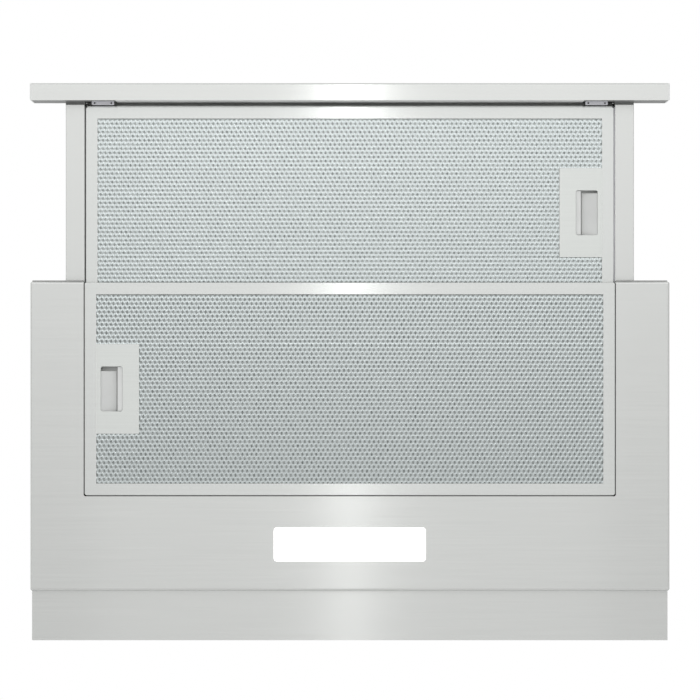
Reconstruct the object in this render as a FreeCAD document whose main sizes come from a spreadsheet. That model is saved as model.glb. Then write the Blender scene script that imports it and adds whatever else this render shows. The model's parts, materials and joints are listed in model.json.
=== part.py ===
"""Pull-out range hood, built as separate named pieces and saved as one STEP file each.

Millimetres. X runs along the width, Y towards the wall and Z up. The origin is the centre of the
flange plane that meets the cabinet. The drawer is modelled pulled out.
"""

import FreeCAD
import Part
import Sketcher
import math
import os
import re

# Driving dimensions. Each one becomes a cell of the Sizes sheet.
SIZES = {
    # lower casing
    "casing_width": 598,
    "casing_depth": 289,
    "casing_height": 41,
    "sheet": 1,
    "bend": 2,
    "upstand": 4.8,
    "front_lip": 3,
    "rear_panel": 89.1,
    "buffer": 1.1,
    # grease filters and their latches
    "filter_side_gap": 1,
    "filter_thick": 9.5,
    "filter_bar": 11,
    "filter_sheet": 0.8,
    "filter_gap": 0.9,
    "filter_corner": 2,
    "mesh_thick": 1.2,
    "latch_width": 40,
    "latch_length": 84,
    "slot_width": 20.4,
    "slot_length": 42,
    "slot_inset": 4,
    "slot_corner": 2,
    "grip_width": 4.7,
    "grip_recess": 1.3,
    "latch_floor": 5.5,
    "latch_plate_thick": 1,
    "nose_reach": 3.2,
    "nose_width": 24,
    # lamp
    "lamp_width": 142,
    "lamp_depth": 31.5,
    "lamp_corner": 3,
    "lamp_inset": 43.2,
    "lamp_height": 12.5,
    # drawer
    "drawer_travel": 168,
    "closed_gap": 1.4,
    "drawer_inset": 32,
    "drawer_rise": 15.8,
    "drawer_height": 19.2,
    "drawer_rear_gap": 12.4,
    "rail_flange": 18,
    "rail_top_flange": 12,
    "bar_depth": 10,
    "bar_height": 11,
    "bar_inset": 3,
    "filter_front_gap": 4.9,
    "bracket_thick": 3,
    "bracket_ear": 6,
    "bracket_leg": 26,
    "trim_depth": 16.2,
    "trim_height": 41,
    "trim_drop": 3,
    "trim_wall": 1.2,
    "trim_round": 2,
    "end_cap": 1.5,
    "clip_width": 20.8,
    "clip_inset": 17.4,
    # rollers and guide rails
    "roller_radius": 6,
    "roller_width": 9,
    "axle_radius": 2,
    "run_clear": 0.05,
    "guide_clear": 0.3,
    "guide_wall": 1.2,
    "guide_end_gap": 4,
    "guide_side_gap": 1.5,
    "guide_web_gap": 3.5,
    "guide_foot": 6,
    "roller_inset": 10,
    "roller_rise": 9.2,
    "glide_inset": 3,
    "glide_length": 25,
    # push buttons
    "button_radius": 4.8,
    "button_pitch": 20,
    "button_end_gap": 129,
    "switch_margin": 12,
    "button_inset": 0.3,
    "button_travel": 1.2,
    # upper housing
    "housing_side_inset": 36,
    "housing_depth": 255,
    "housing_height": 135,
    "housing_inset": 1.5,
    "housing_flange": 10,
    "screw_row": 200,
    "screw_edge": 8,
    "screw_hole": 2.25,
    # blower
    "fan_inset": 92,
    "fan_z": 68,
    "volute_radius": 54,
    "volute_step": 8,
    "volute_wall": 2,
    "volute_half": 65,
    "tongue_offset": 22.8,
    "inlet_radius": 40,
    "wheel_radius": 48,
    "wheel_half": 58,
    "blade_inner": 40.5,
    "blade_thick": 1,
    "shaft_radius": 3,
    "motor_radius": 30,
    "motor_start": 18,
    "motor_end": 82,
    "hub_radius": 9,
    "hub_left": 12,
    "hub_right": 8,
    "shaft_left": 14,
    "shaft_right": 20,
    # electrics
    "control_thick": 34,
    "control_inset": 27,
    "control_length": 120,
    "control_low": 38,
    "control_high": 112,
    "control_corner": 4,
    "capacitor_radius": 15,
    "capacitor_inset": 32,
    "capacitor_length": 60,
    "capacitor_z": 20,
    "capacitor_gap": 1,
    "foot_half": 6,
    # outlet
    "collar_radius": 59.5,
    "collar_wall": 2,
    "collar_height": 45,
    "collar_flange": 73,
    "collar_base": 3,
    "seat_width": 4,
    "seat_thick": 2,
    "flap_thick": 1.4,
    "flap_pin": 1.5,
    "flap_offset": 7,
    "gland_bore": 4,
    "gland_side_inset": 63,
    "gland_back_inset": 48,
    # rear filler strip
    "strip_depth": 47.2,
    "strip_inset": 1,
    "strip_rise": 10,
    "strip_height": 26,
    "tongue_width": 50,
    "tongue_inset": 99,
    "tongue_length": 62,
    "strip_screw": 2.4,
    "strip_head": 4.5,
    "strip_head_height": 2.4,
}

# Places that follow from the sizes.
PLACES = {
    "casing_side": "casing_width / 2",
    "casing_front": "-casing_depth / 2",
    "casing_back": "casing_depth / 2",
    "casing_bottom": "-casing_height",
    "casing_floor": "casing_bottom + sheet",
    "filter_depth": "casing_depth - filter_gap - rear_panel",
    "main_front": "casing_front + filter_gap",
    "main_back": "main_front + filter_depth",
    "opening_side": "filter_half + filter_gap",
    "opening_back": "main_back + filter_gap",
    "lamp_y": "casing_back - lamp_inset",
    "trim_back": "casing_front - drawer_travel - closed_gap",
    "trim_front": "trim_back - trim_depth",
    "trim_bottom": "casing_bottom - trim_drop",
    "trim_top": "trim_bottom + trim_height",
    "trim_end": "casing_side - end_cap",
    "drawer_side": "casing_side - drawer_inset",
    "drawer_inner": "drawer_side - rail_flange",
    "drawer_bottom": "casing_bottom + drawer_rise",
    "drawer_top": "drawer_bottom + drawer_height",
    "rail_front": "trim_back + bracket_thick",
    "drawer_rear": "trim_back + casing_depth + closed_gap - drawer_rear_gap",
    "drawer_filter_front": "trim_back + filter_front_gap",
    "drawer_filter_back": "drawer_filter_front + filter_depth",
    "roller_y": "drawer_rear - roller_inset",
    "roller_z": "drawer_bottom + roller_rise",
    "guide_half": "roller_radius + guide_clear",
    "guide_inner": "drawer_side + guide_side_gap",
    "guide_web": "guide_inner + roller_width + guide_web_gap",
    "opening_top": "drawer_bottom - 1",
    "opening_wide": "drawer_side + 1.3",
    "housing_side": "casing_side - housing_side_inset",
    "housing_back": "casing_back - housing_inset",
    "housing_front": "housing_back - housing_depth",
    "housing_ceiling": "housing_height - sheet",
    "housing_inner": "housing_side - sheet",
    "fan_y": "housing_front + fan_inset",
    "volute_front_y": "fan_y - volute_step / 2",
    "volute_rear_y": "fan_y + volute_step / 2",
    "volute_low_z": "fan_z - volute_step / 2",
    "volute_high_z": "fan_z + volute_step / 2",
    "tongue_y": "volute_front_y + tongue_offset",
    "volute_back": "volute_rear_y + volute_radius + 2 * volute_step",
    "collar_y": "(tongue_y + volute_back) / 2",
    "collar_bore": "collar_radius - collar_wall",
    "collar_screw": "(collar_flange - 6) * 0.7071",
    "flap_z": "housing_height + 8",
    "seat_top": "flap_z - flap_thick / 2 - 0.2",
    "gland_x": "housing_side - gland_side_inset",
    "gland_y": "housing_back - gland_back_inset",
    "capacitor_x": "housing_inner - capacitor_radius - capacitor_gap",
    "capacitor_front": "housing_front + capacitor_inset",
    "capacitor_back": "capacitor_front + capacitor_length",
    "capacitor_y": "(capacitor_front + capacitor_back) / 2",
    "control_front": "housing_front + control_inset",
    "control_back": "control_front + control_length",
    "strip_z": "casing_bottom + strip_rise",
    "strip_side": "casing_side - strip_inset",
    "strip_front": "casing_back + 0.3",
    "strip_back": "casing_back + strip_depth",
    "tongue_place": "casing_side - tongue_inset",
    "tongue_screw_y": "casing_back - tongue_length + 22",
    "button_first": "casing_side - button_end_gap",
    "button_z": "(trim_bottom + trim_top) / 2",
    "clip_place": "drawer_inner - clip_inset",
    "foot_inner": "drawer_inner - 8",
    "foot_outer": "drawer_side + bracket_ear",
    "foot_low": "trim_bottom + 3.5",
    "foot_high": "drawer_top - sheet - 0.5",
    "filter_half": "drawer_inner - filter_side_gap",
    "filter_side": "filter_depth / 2",
    "latch_edge": "filter_half - filter_bar - 0.1",
    "latch_inner": "latch_edge - latch_width",
    "slot_edge": "latch_edge - slot_inset",
    "slot_inner": "slot_edge - slot_width",
    "grip_edge": "slot_inner + grip_width",
    "rib_y": "slot_length / 2 + 1",
}

doc = FreeCAD.newDocument("hood")
sheet = doc.addObject("Spreadsheet::Sheet", "Sizes")
for row, (alias, number) in enumerate(SIZES.items(), start=1):
    sheet.set(f"A{row}", alias)
    sheet.set(f"B{row}", str(number))
    sheet.setAlias(f"B{row}", alias)
doc.recompute()

nodes = []


def bound(text):
    """Turn plain size and place names into references to the sheet."""

    def swap(match):
        word = match.group(0)
        if word in PLACES:
            return "(" + bound(PLACES[word]) + ")"
        return "Sizes." + word if word in SIZES else word

    return re.sub(r"[a-z][a-z_0-9]*", swap, text)


def value(text):
    return float(sheet.evalExpression(bound(text)))


def keep(solid, label):
    """Name a finished piece and list it for export."""
    solid.Label = label
    nodes.append(solid)
    return solid


def box(x, y, z):
    """A block between a low and a high bound on each axis."""
    solid = doc.addObject("Part::Box", "Box")
    for prop, axis, (low, high) in (("Length", "x", x), ("Width", "y", y), ("Height", "z", z)):
        solid.setExpression(prop, bound(f"({high}) - ({low})"))
        solid.setExpression(f"Placement.Base.{axis}", bound(low))
    return solid


def rod(axis, radius, low, high, centre):
    """A cylinder along one axis, centred on the two other coordinates."""
    turns = {
        "x": FreeCAD.Rotation(FreeCAD.Vector(0, 1, 0), 90),
        "y": FreeCAD.Rotation(FreeCAD.Vector(1, 0, 0), -90),
        "z": FreeCAD.Rotation(),
    }
    solid = doc.addObject("Part::Cylinder", "Cylinder")
    solid.Placement = FreeCAD.Placement(FreeCAD.Vector(), turns[axis])
    solid.setExpression("Radius", bound(radius))
    solid.setExpression("Height", bound(f"({high}) - ({low})"))
    solid.setExpression(f"Placement.Base.{axis}", bound(low))
    for other, place in zip([a for a in "xyz" if a != axis], centre):
        solid.setExpression(f"Placement.Base.{other}", bound(place))
    return solid


def fuse(*solids):
    joined = doc.addObject("Part::MultiFuse", "Fusion")
    joined.Shapes = list(solids)
    joined.Refine = True
    return joined


def cut(base, *tools):
    left = doc.addObject("Part::Cut", "Cut")
    left.Base = base
    left.Tool = tools[0] if len(tools) == 1 else fuse(*tools)
    return left


def group(*solids):
    """Several separate solids kept as one piece."""
    together = doc.addObject("Part::Compound", "Compound")
    together.Links = list(solids)
    return together


def mirrored(solid):
    """The same piece on the other side of the hood."""
    twin = doc.addObject("Part::Mirroring", "Mirror")
    twin.Source = solid
    twin.Normal = FreeCAD.Vector(1, 0, 0)
    return twin


def pair(solid):
    return group(solid, mirrored(solid))


def body(x="0", y="0", z="0", turn=0):
    """An empty body whose own origin lies at the given place, turned about Z."""
    new = doc.addObject("PartDesign::Body", "Body")
    new.Placement = FreeCAD.Placement(FreeCAD.Vector(), FreeCAD.Rotation(FreeCAD.Vector(0, 0, 1), turn))
    for axis, place in (("x", x), ("y", y), ("z", z)):
        new.setExpression(f"Placement.Base.{axis}", bound(place))
    return new


def rect(u0, u1, v0, v1):
    return [(u0, v0), (u1, v0), (u1, v1), (u0, v1)]


def rounded(u0, u1, v0, v1, radius):
    return ("rounded", u0, u1, v0, v1, radius)


def circle(u, v, radius):
    return ("circle", u, v, radius)


def fix(sketch, constraint, text):
    number = sketch.addConstraint(constraint)
    sketch.setExpression(f"Constraints[{number}]", bound(text))


def fix_point(sketch, geometry, vertex, u, v):
    """Hold a point at its distances from the sketch origin."""
    fix(sketch, Sketcher.Constraint("DistanceX", -1, 1, geometry, vertex, value(u)), u)
    fix(sketch, Sketcher.Constraint("DistanceY", -1, 1, geometry, vertex, value(v)), v)


def line(start, end):
    return Part.LineSegment(FreeCAD.Vector(*start, 0), FreeCAD.Vector(*end, 0))


def arc(centre, radius, start, end):
    round_line = Part.Circle(FreeCAD.Vector(*centre, 0), FreeCAD.Vector(0, 0, 1), radius)
    return Part.ArcOfCircle(round_line, start, end)


def draw_polygon(sketch, points):
    spots = [(value(u), value(v)) for u, v in points]
    lines = [sketch.addGeometry(line(a, b)) for a, b in zip(spots, spots[1:] + spots[:1])]
    for first, second in zip(lines, lines[1:] + lines[:1]):
        sketch.addConstraint(Sketcher.Constraint("Coincident", first, 2, second, 1))
    for number, (u, v) in zip(lines, points):
        fix_point(sketch, number, 1, u, v)


def draw_circle(sketch, u, v, radius):
    centre = FreeCAD.Vector(value(u), value(v), 0)
    ring = sketch.addGeometry(Part.Circle(centre, FreeCAD.Vector(0, 0, 1), value(radius)))
    fix_point(sketch, ring, 3, u, v)
    fix(sketch, Sketcher.Constraint("Radius", ring, value(radius)), radius)


def draw_rounded(sketch, u0, u1, v0, v1, radius):
    """A rectangle with four tangent corner arcs."""
    left, right = f"({u0}) + {radius}", f"({u1}) - {radius}"
    low, high = f"({v0}) + {radius}", f"({v1}) - {radius}"
    size = value(radius)
    quarter = math.pi / 2
    corners = [(left, low, 2), (right, low, 3), (right, high, 0), (left, high, 1)]
    arcs = [
        sketch.addGeometry(arc((value(u), value(v)), size, turn * quarter, (turn + 1) * quarter))
        for u, v, turn in corners
    ]
    for number, after in zip(arcs, arcs[1:] + arcs[:1]):
        a = sketch.getPoint(number, 2)
        b = sketch.getPoint(after, 1)
        side = sketch.addGeometry(line((a.x, a.y), (b.x, b.y)))
        sketch.addConstraint(Sketcher.Constraint("Tangent", number, 2, side, 1))
        sketch.addConstraint(Sketcher.Constraint("Tangent", side, 2, after, 1))
    for number, (u, v, _) in zip(arcs, corners):
        fix_point(sketch, number, 3, u, v)
    for number in arcs[1:]:
        sketch.addConstraint(Sketcher.Constraint("Equal", arcs[0], number))
    fix(sketch, Sketcher.Constraint("Radius", arcs[0], size), radius)


def new_sketch(owner, plane, offset):
    sketch = owner.newObject("Sketcher::SketchObject", "Sketch")
    base = next(f for f in owner.Origin.OriginFeatures if getattr(f, "Role", "") == plane + "_Plane")
    sketch.AttachmentSupport = (base, [""])
    sketch.MapMode = "FlatFace"
    sketch.setExpression("AttachmentOffset.Base.z", bound(offset))
    return sketch


def outline(owner, plane, offset, loops):
    sketch = new_sketch(owner, plane, offset)
    for loop in loops:
        if loop[0] == "circle":
            draw_circle(sketch, *loop[1:])
        elif loop[0] == "rounded":
            draw_rounded(sketch, *loop[1:])
        else:
            draw_polygon(sketch, loop)
    return sketch


def pad(owner, plane, low, high, *loops):
    """Add material between two levels along the normal of a plane."""
    offset = f"-({high})" if plane == "XZ" else low
    return pad_sketch(owner, outline(owner, plane, offset, loops), low, high)


def pad_sketch(owner, sketch, low, high):
    feature = owner.newObject("PartDesign::Pad", "Pad")
    feature.Profile = sketch
    feature.setExpression("Length", bound(f"({high}) - ({low})"))
    return feature


def pocket(owner, plane, low, high, *loops):
    """Remove material between two levels along the normal of a plane."""
    offset = f"-({low})" if plane == "XZ" else high
    return pocket_sketch(owner, outline(owner, plane, offset, loops), low, high)


def pocket_sketch(owner, sketch, low, high):
    feature = owner.newObject("PartDesign::Pocket", "Pocket")
    feature.Profile = sketch
    feature.setExpression("Length", bound(f"({high}) - ({low})"))
    return feature


def around(owner, feature, count):
    """Repeat a feature evenly about the body's own X axis."""
    axis = next(f for f in owner.Origin.OriginFeatures if getattr(f, "Role", "") == "X_Axis")
    pattern = owner.newObject("PartDesign::PolarPattern", "Pattern")
    pattern.Originals = [feature]
    pattern.Axis = (axis, [""])
    pattern.Angle = 360
    pattern.Occurrences = count
    owner.Tip = pattern
    return pattern


def on(**levels):
    """Choose the edges that lie wholly at the given levels, in the body's own axes."""
    numbers = {axis: value(text) for axis, text in levels.items()}

    def chosen(edge):
        ends = [v.Point for v in edge.Vertexes]
        return all(abs(getattr(p, axis) - n) < 1e-4 for p in ends for axis, n in numbers.items())

    return chosen


def fillet(owner, radius, *choices):
    """Round the edges that any of the choices picks."""
    doc.recompute()
    tip = owner.Tip
    names = [
        f"Edge{number}"
        for number, edge in enumerate(tip.Shape.Edges, start=1)
        if any(choice(edge) for choice in choices)
    ]
    feature = owner.newObject("PartDesign::Fillet", "Fillet")
    feature.Base = (tip, names)
    feature.setExpression("Radius", bound(radius))
    return feature


def lower_casing():
    """Folded pan with the filter opening, the lamp window and the way in for the drawer."""
    pan = body()
    pad(
        pan, "XY", "casing_bottom", "-sheet",
        rounded("-casing_side", "casing_side", "casing_front", "casing_back", "bend"),
    )
    fillet(pan, "bend", on(z="casing_bottom"))
    pocket(
        pan, "XY", "casing_floor", "-sheet",
        rect("-casing_side + sheet", "casing_side - sheet", "casing_front + sheet", "casing_back - sheet"),
    )
    pocket(
        pan, "XZ", "casing_front", "casing_front + sheet",
        [
            ("-opening_side", "casing_bottom - 1"),
            ("opening_side", "casing_bottom - 1"),
            ("opening_side", "opening_top"),
            ("opening_wide", "opening_top"),
            ("opening_wide", "1"),
            ("-opening_wide", "1"),
            ("-opening_wide", "opening_top"),
            ("-opening_side", "opening_top"),
        ],
    )
    pocket(
        pan, "XY", "casing_bottom", "casing_floor",
        rounded("-opening_side", "opening_side", "casing_front - 10", "opening_back", "filter_corner"),
        rounded(
            "-lamp_width / 2", "lamp_width / 2",
            "lamp_y - lamp_depth / 2", "lamp_y + lamp_depth / 2", "lamp_corner",
        ),
    )
    slot_low, slot_high = "tongue_place - tongue_width / 2 - 0.5", "tongue_place + tongue_width / 2 + 0.5"
    pocket(
        pan, "XZ", "casing_back - sheet", "casing_back",
        rect(slot_low, slot_high, "strip_z - 0.3", "strip_z + sheet + 0.3"),
        rect(f"-({slot_high})", f"-({slot_low})", "strip_z - 0.3", "strip_z + sheet + 0.3"),
    )
    pad(
        pan, "XY", "casing_floor", "casing_bottom + upstand",
        [
            ("-opening_side - sheet", "casing_front + sheet"),
            ("-opening_side", "casing_front + sheet"),
            ("-opening_side", "opening_back"),
            ("opening_side", "opening_back"),
            ("opening_side", "casing_front + sheet"),
            ("opening_side + sheet", "casing_front + sheet"),
            ("opening_side + sheet", "opening_back + sheet"),
            ("-opening_side - sheet", "opening_back + sheet"),
        ],
    )
    keep(pan, "lower_casing")


def flange_plate():
    """Top of the pan, which meets the cabinet and carries the upper housing."""
    plate = body()
    holes = [
        circle(f"{sx} * (casing_side - screw_edge)", f"{sy} * screw_row / 2", "screw_hole")
        for sx in ("1", "-1")
        for sy in ("1", "-1")
    ]
    inset = "housing_flange + 2"
    pad(
        plate, "XY", "-sheet", "0",
        rounded("-casing_side", "casing_side", "casing_front", "casing_back", "bend"),
        rect(
            f"-housing_side + {inset}", f"housing_side - ({inset})",
            f"housing_front + {inset}", f"housing_back - ({inset})",
        ),
        *holes,
    )
    pad(
        plate, "XZ", "casing_front", "casing_front + sheet",
        rect("-opening_wide + 0.4", "opening_wide - 0.4", "-sheet - front_lip", "-sheet"),
    )
    keep(plate, "flange_plate")


def housing_panels():
    """Upper housing from five sheet panels."""
    top = body()
    pad(
        top, "XY", "housing_ceiling", "housing_height",
        rounded("-housing_side", "housing_side", "housing_front", "housing_back", "bend"),
        circle("0", "collar_y", "collar_bore"),
        circle("gland_x", "gland_y", "gland_bore + 4.1"),
    )
    keep(top, "housing_top")

    side = body()
    web = "housing_side - sheet"
    lip = "housing_side - housing_flange"
    pad(
        side, "XZ", "housing_front", "housing_back",
        [
            (lip, "0"),
            ("housing_side", "0"),
            ("housing_side", "housing_ceiling"),
            (lip, "housing_ceiling"),
            (lip, "housing_ceiling - sheet"),
            (web, "housing_ceiling - sheet"),
            (web, "sheet"),
            (lip, "sheet"),
        ],
    )
    notch = rect(lip, web, "0", "housing_ceiling")
    pocket(side, "XZ", "housing_front", "housing_front + sheet + 0.2", notch)
    pocket(side, "XZ", "housing_back - sheet - 0.2", "housing_back", notch)
    keep(side, "housing_right")
    keep(mirrored(side), "housing_left")

    span = "housing_inner - 0.2"
    short = "housing_side - housing_flange - 1"
    walls = [("housing_front", "housing_front", "1"), ("housing_rear", "housing_back", "-1")]
    for label, outer, inward in walls:
        wall = body()
        near = f"{outer} + {inward} * sheet"
        far = f"{outer} + {inward} * housing_flange"
        low, high = (outer, near) if inward == "1" else (near, outer)
        pad(wall, "XZ", low, high, rect(f"-({span})", span, "0", "housing_ceiling"))
        low, high = (near, far) if inward == "1" else (far, near)
        pad(wall, "XY", "0", "sheet", rect(f"-({short})", short, low, high))
        pad(wall, "XY", "housing_ceiling - sheet", "housing_ceiling", rect("90", short, low, high))
        pad(wall, "XY", "housing_ceiling - sheet", "housing_ceiling", rect(f"-({short})", "-90", low, high))
        keep(wall, label)


def outlet_collar():
    """Round duct collar with bearings for the two flaps, and the seat that they shut on."""
    collar = body(y="collar_y")
    base = "housing_height"
    pad(
        collar, "XY", base, f"{base} + collar_base",
        circle("0", "0", "collar_flange"),
        *[
            circle(f"{sx} * collar_screw", f"{sy} * collar_screw", "2.1")
            for sx in ("1", "-1")
            for sy in ("1", "-1")
        ],
    )
    pad(collar, "XY", base, f"{base} + collar_height", circle("0", "0", "collar_radius"))
    pocket(collar, "XY", base, f"{base} + collar_height", circle("0", "0", "collar_bore"))
    bearings = [
        circle("flap_offset", "flap_z", "flap_pin + run_clear"),
        circle("-flap_offset", "flap_z", "flap_pin + run_clear"),
    ]
    pocket(collar, "YZ", "-collar_radius", "collar_radius", *bearings)
    fillet(collar, "0.8", on(z=f"{base} + collar_height"))
    keep(collar, "outlet_collar")

    seat = body(y="collar_y")
    pad(
        seat, "XY", "seat_top - seat_thick", "seat_top",
        circle("0", "0", "collar_bore - run_clear"),
        circle("0", "0", "collar_bore - seat_width"),
    )
    pad(
        seat, "XY", "seat_top - seat_thick", "seat_top",
        rect("-collar_bore + 2", "collar_bore - 2", "-flap_offset + 2", "flap_offset - 2"),
    )
    pocket(seat, "YZ", "-collar_radius", "collar_radius", *bearings)
    keep(seat, "flap_seat")

    screws = []
    for sx in ("1", "-1"):
        for sy in ("1", "-1"):
            spot = (f"{sx} * collar_screw", f"collar_y + {sy} * collar_screw")
            head = rod("z", "3.8", f"{base} + collar_base", f"{base} + collar_base + 2.2", spot)
            screws.append(fuse(head, rod("z", "2", base, f"{base} + collar_base", spot)))
    keep(group(*screws), "collar_screws")


def flaps():
    """Two half-round non-return flaps that lie shut on their seat."""
    for label, side, turn in (("flap_rear", "1", 0), ("flap_front", "-1", 180)):
        disc = doc.addObject("Part::Cylinder", "HalfDisc")
        disc.Placement = FreeCAD.Placement(FreeCAD.Vector(), FreeCAD.Rotation(FreeCAD.Vector(0, 0, 1), turn))
        disc.Angle = 180
        disc.setExpression("Radius", bound("collar_bore - 1.2"))
        disc.setExpression("Height", bound("flap_thick"))
        disc.setExpression("Placement.Base.y", bound("collar_y"))
        disc.setExpression("Placement.Base.z", bound("flap_z - flap_thick / 2"))
        near, far = f"collar_y - {side} * 1", f"collar_y + {side} * (flap_offset - 0.6)"
        low, high = (near, far) if side == "1" else (far, near)
        strip = box(("-collar_radius", "collar_radius"), (low, high), ("flap_z - 5", "flap_z + 5"))
        hinge = (f"collar_y + {side} * flap_offset", "flap_z")
        pin = rod("x", "flap_pin", "-collar_bore - 1", "collar_bore + 1", hinge)
        keep(fuse(cut(disc, strip), pin), label)


def draw_volute(owner, offset, grow):
    """Spiral of three growing quarter arcs that ends in an upright outlet."""
    sketch = new_sketch(owner, "YZ", offset)
    r1 = value(f"volute_radius + {grow}")
    step = value("volute_step")
    c1 = (value("volute_front_y"), value("volute_low_z"))
    c2 = (value("volute_rear_y"), value("volute_low_z"))
    c3 = (value("volute_rear_y"), value("volute_high_z"))
    top = value("housing_ceiling")
    lead = value(f"tongue_y - {grow}")
    rise = c1[1] + (r1**2 - (lead - c1[0]) ** 2) ** 0.5
    back = c3[0] + r1 + 2 * step
    swing = ((r1**2 - (lead - c1[0]) ** 2) ** 0.5) / (lead - c1[0])
    angle = FreeCAD.Vector(1, swing, 0).getAngle(FreeCAD.Vector(1, 0, 0))
    front = sketch.addGeometry(line((lead, top), (lead, rise)))
    first = sketch.addGeometry(arc(c1, r1, angle, math.pi))
    second = sketch.addGeometry(arc(c2, r1 + step, math.pi, math.pi * 1.5))
    third = sketch.addGeometry(arc(c3, r1 + 2 * step, math.pi * 1.5, math.pi * 2))
    rear = sketch.addGeometry(line((back, c3[1]), (back, top)))
    lid = sketch.addGeometry(line((back, top), (lead, top)))
    chain = [front, first, second, third, rear, lid]
    for before, after in zip(chain, chain[1:] + chain[:1]):
        sketch.addConstraint(Sketcher.Constraint("Coincident", before, 2, after, 1))
    fix_point(sketch, first, 3, "volute_front_y", "volute_low_z")
    fix_point(sketch, second, 3, "volute_rear_y", "volute_low_z")
    fix_point(sketch, third, 3, "volute_rear_y", "volute_high_z")
    fix(sketch, Sketcher.Constraint("Radius", first, r1), f"volute_radius + {grow}")
    fix(sketch, Sketcher.Constraint("DistanceY", -1, 1, first, 2, c1[1]), "volute_low_z")
    fix(sketch, Sketcher.Constraint("DistanceX", -1, 1, second, 2, c2[0]), "volute_rear_y")
    fix(sketch, Sketcher.Constraint("DistanceY", -1, 1, third, 2, c3[1]), "volute_high_z")
    fix_point(sketch, front, 1, f"tongue_y - {grow}", "housing_ceiling")
    sketch.addConstraint(Sketcher.Constraint("Vertical", front))
    sketch.addConstraint(Sketcher.Constraint("Vertical", rear))
    fix(sketch, Sketcher.Constraint("DistanceY", -1, 1, rear, 2, top), "housing_ceiling")
    return sketch


def blower():
    """Double-inlet blower with its motor inside the right inlet."""
    outer = "volute_half + volute_wall"
    right = body()
    pad_sketch(right, draw_volute(right, "0", "volute_wall"), "0", outer)
    pocket_sketch(right, draw_volute(right, "volute_half", "0"), "0", "volute_half")
    pocket(right, "YZ", "volute_half", outer, circle("fan_y", "fan_z", "inlet_radius"))
    keep(right, "scroll_right")
    keep(mirrored(right), "scroll_left")

    wheel = body(y="fan_y", z="fan_z")
    pad(wheel, "YZ", "-1", "1", circle("0", "0", "wheel_radius"))
    pad(wheel, "YZ", "-hub_left", "hub_right", circle("0", "0", "hub_radius"))
    blade = pad(
        wheel, "YZ", "-wheel_half", "wheel_half",
        [
            ("blade_inner", "-blade_thick / 2"),
            ("wheel_radius - 0.4", "3.5 - blade_thick / 2"),
            ("wheel_radius - 0.4", "3.5 + blade_thick / 2"),
            ("blade_inner", "blade_thick / 2"),
        ],
    )
    around(wheel, blade, 30)
    rim = [circle("0", "0", "wheel_radius"), circle("0", "0", "wheel_radius - 3")]
    pad(wheel, "YZ", "-wheel_half", "-wheel_half + 2.5", *rim)
    pad(wheel, "YZ", "wheel_half - 2.5", "wheel_half", *rim)
    pocket(wheel, "YZ", "-hub_left", "hub_right", circle("0", "0", "shaft_radius + 0.02"))
    keep(wheel, "impeller")

    centre = ("fan_y", "fan_z")
    keep(rod("x", "shaft_radius", "-shaft_left", "shaft_right", centre), "motor_shaft")
    can = fuse(
        rod("x", "motor_radius", "motor_start", "motor_end", centre),
        rod("x", "motor_radius - 7", "motor_start - 6", "motor_end + 4", centre),
    )
    bore = rod("x", "shaft_radius + run_clear", "motor_start - 6", "shaft_right + 4", centre)
    keep(cut(can, bore), "motor")

    bracket = body(y="fan_y", z="fan_z")
    pad(
        bracket, "YZ", outer, f"{outer} + 2.5",
        circle("0", "0", "inlet_radius + 12"),
        circle("0", "0", "motor_radius + 0.1"),
    )
    near, far = "(motor_radius + 4)", "(inlet_radius + 3)"
    window = pocket(
        bracket, "YZ", outer, f"{outer} + 2.5",
        [
            (f"{near} * 0.6", f"{near} * 0.8"),
            (f"{near} * 1.02", "0"),
            (f"{near} * 0.6", f"-{near} * 0.8"),
            (f"{far} * 0.6", f"-{far} * 0.8"),
            (f"{far} * 0.92", f"-{far} * 0.4"),
            (far, "0"),
            (f"{far} * 0.92", f"{far} * 0.4"),
            (f"{far} * 0.6", f"{far} * 0.8"),
        ],
    )
    around(bracket, window, 3)
    keep(bracket, "motor_bracket")


def electrics():
    """Control box and capacitor on the right wall, and the cable gland in the top."""
    case = body()
    face = "housing_inner - control_thick"
    pad(
        case, "YZ", face, "housing_inner",
        rounded("control_front", "control_back", "control_low", "control_high", "control_corner"),
    )
    fillet(case, "2", on(x=face))
    keep(case, "control_box")

    core = rod("y", "capacitor_radius", "capacitor_front", "capacitor_back", ("capacitor_x", "capacitor_z"))
    foot = box(
        ("capacitor_x", "housing_inner"),
        ("capacitor_y - foot_half", "capacitor_y + foot_half"),
        ("capacitor_z - foot_half", "capacitor_z + foot_half"),
    )
    keep(fuse(core, foot), "capacitor")

    gland = body(x="gland_x", y="gland_y")
    pad(gland, "XY", "housing_height", "housing_height + 5", circle("0", "0", "gland_bore + 8"))
    pad(gland, "XY", "housing_ceiling - 7", "housing_height", circle("0", "0", "gland_bore + 4"))
    pad(gland, "XY", "housing_ceiling - 5", "housing_ceiling", circle("0", "0", "gland_bore + 7"))
    pad(gland, "XY", "housing_height + 5", "housing_height + 13", circle("0", "0", "gland_bore + 5"))
    pocket(gland, "XY", "housing_ceiling - 7", "housing_height + 13", circle("0", "0", "gland_bore"))
    fillet(gland, "1", on(z="housing_height + 13"))
    keep(gland, "cable_gland")


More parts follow.
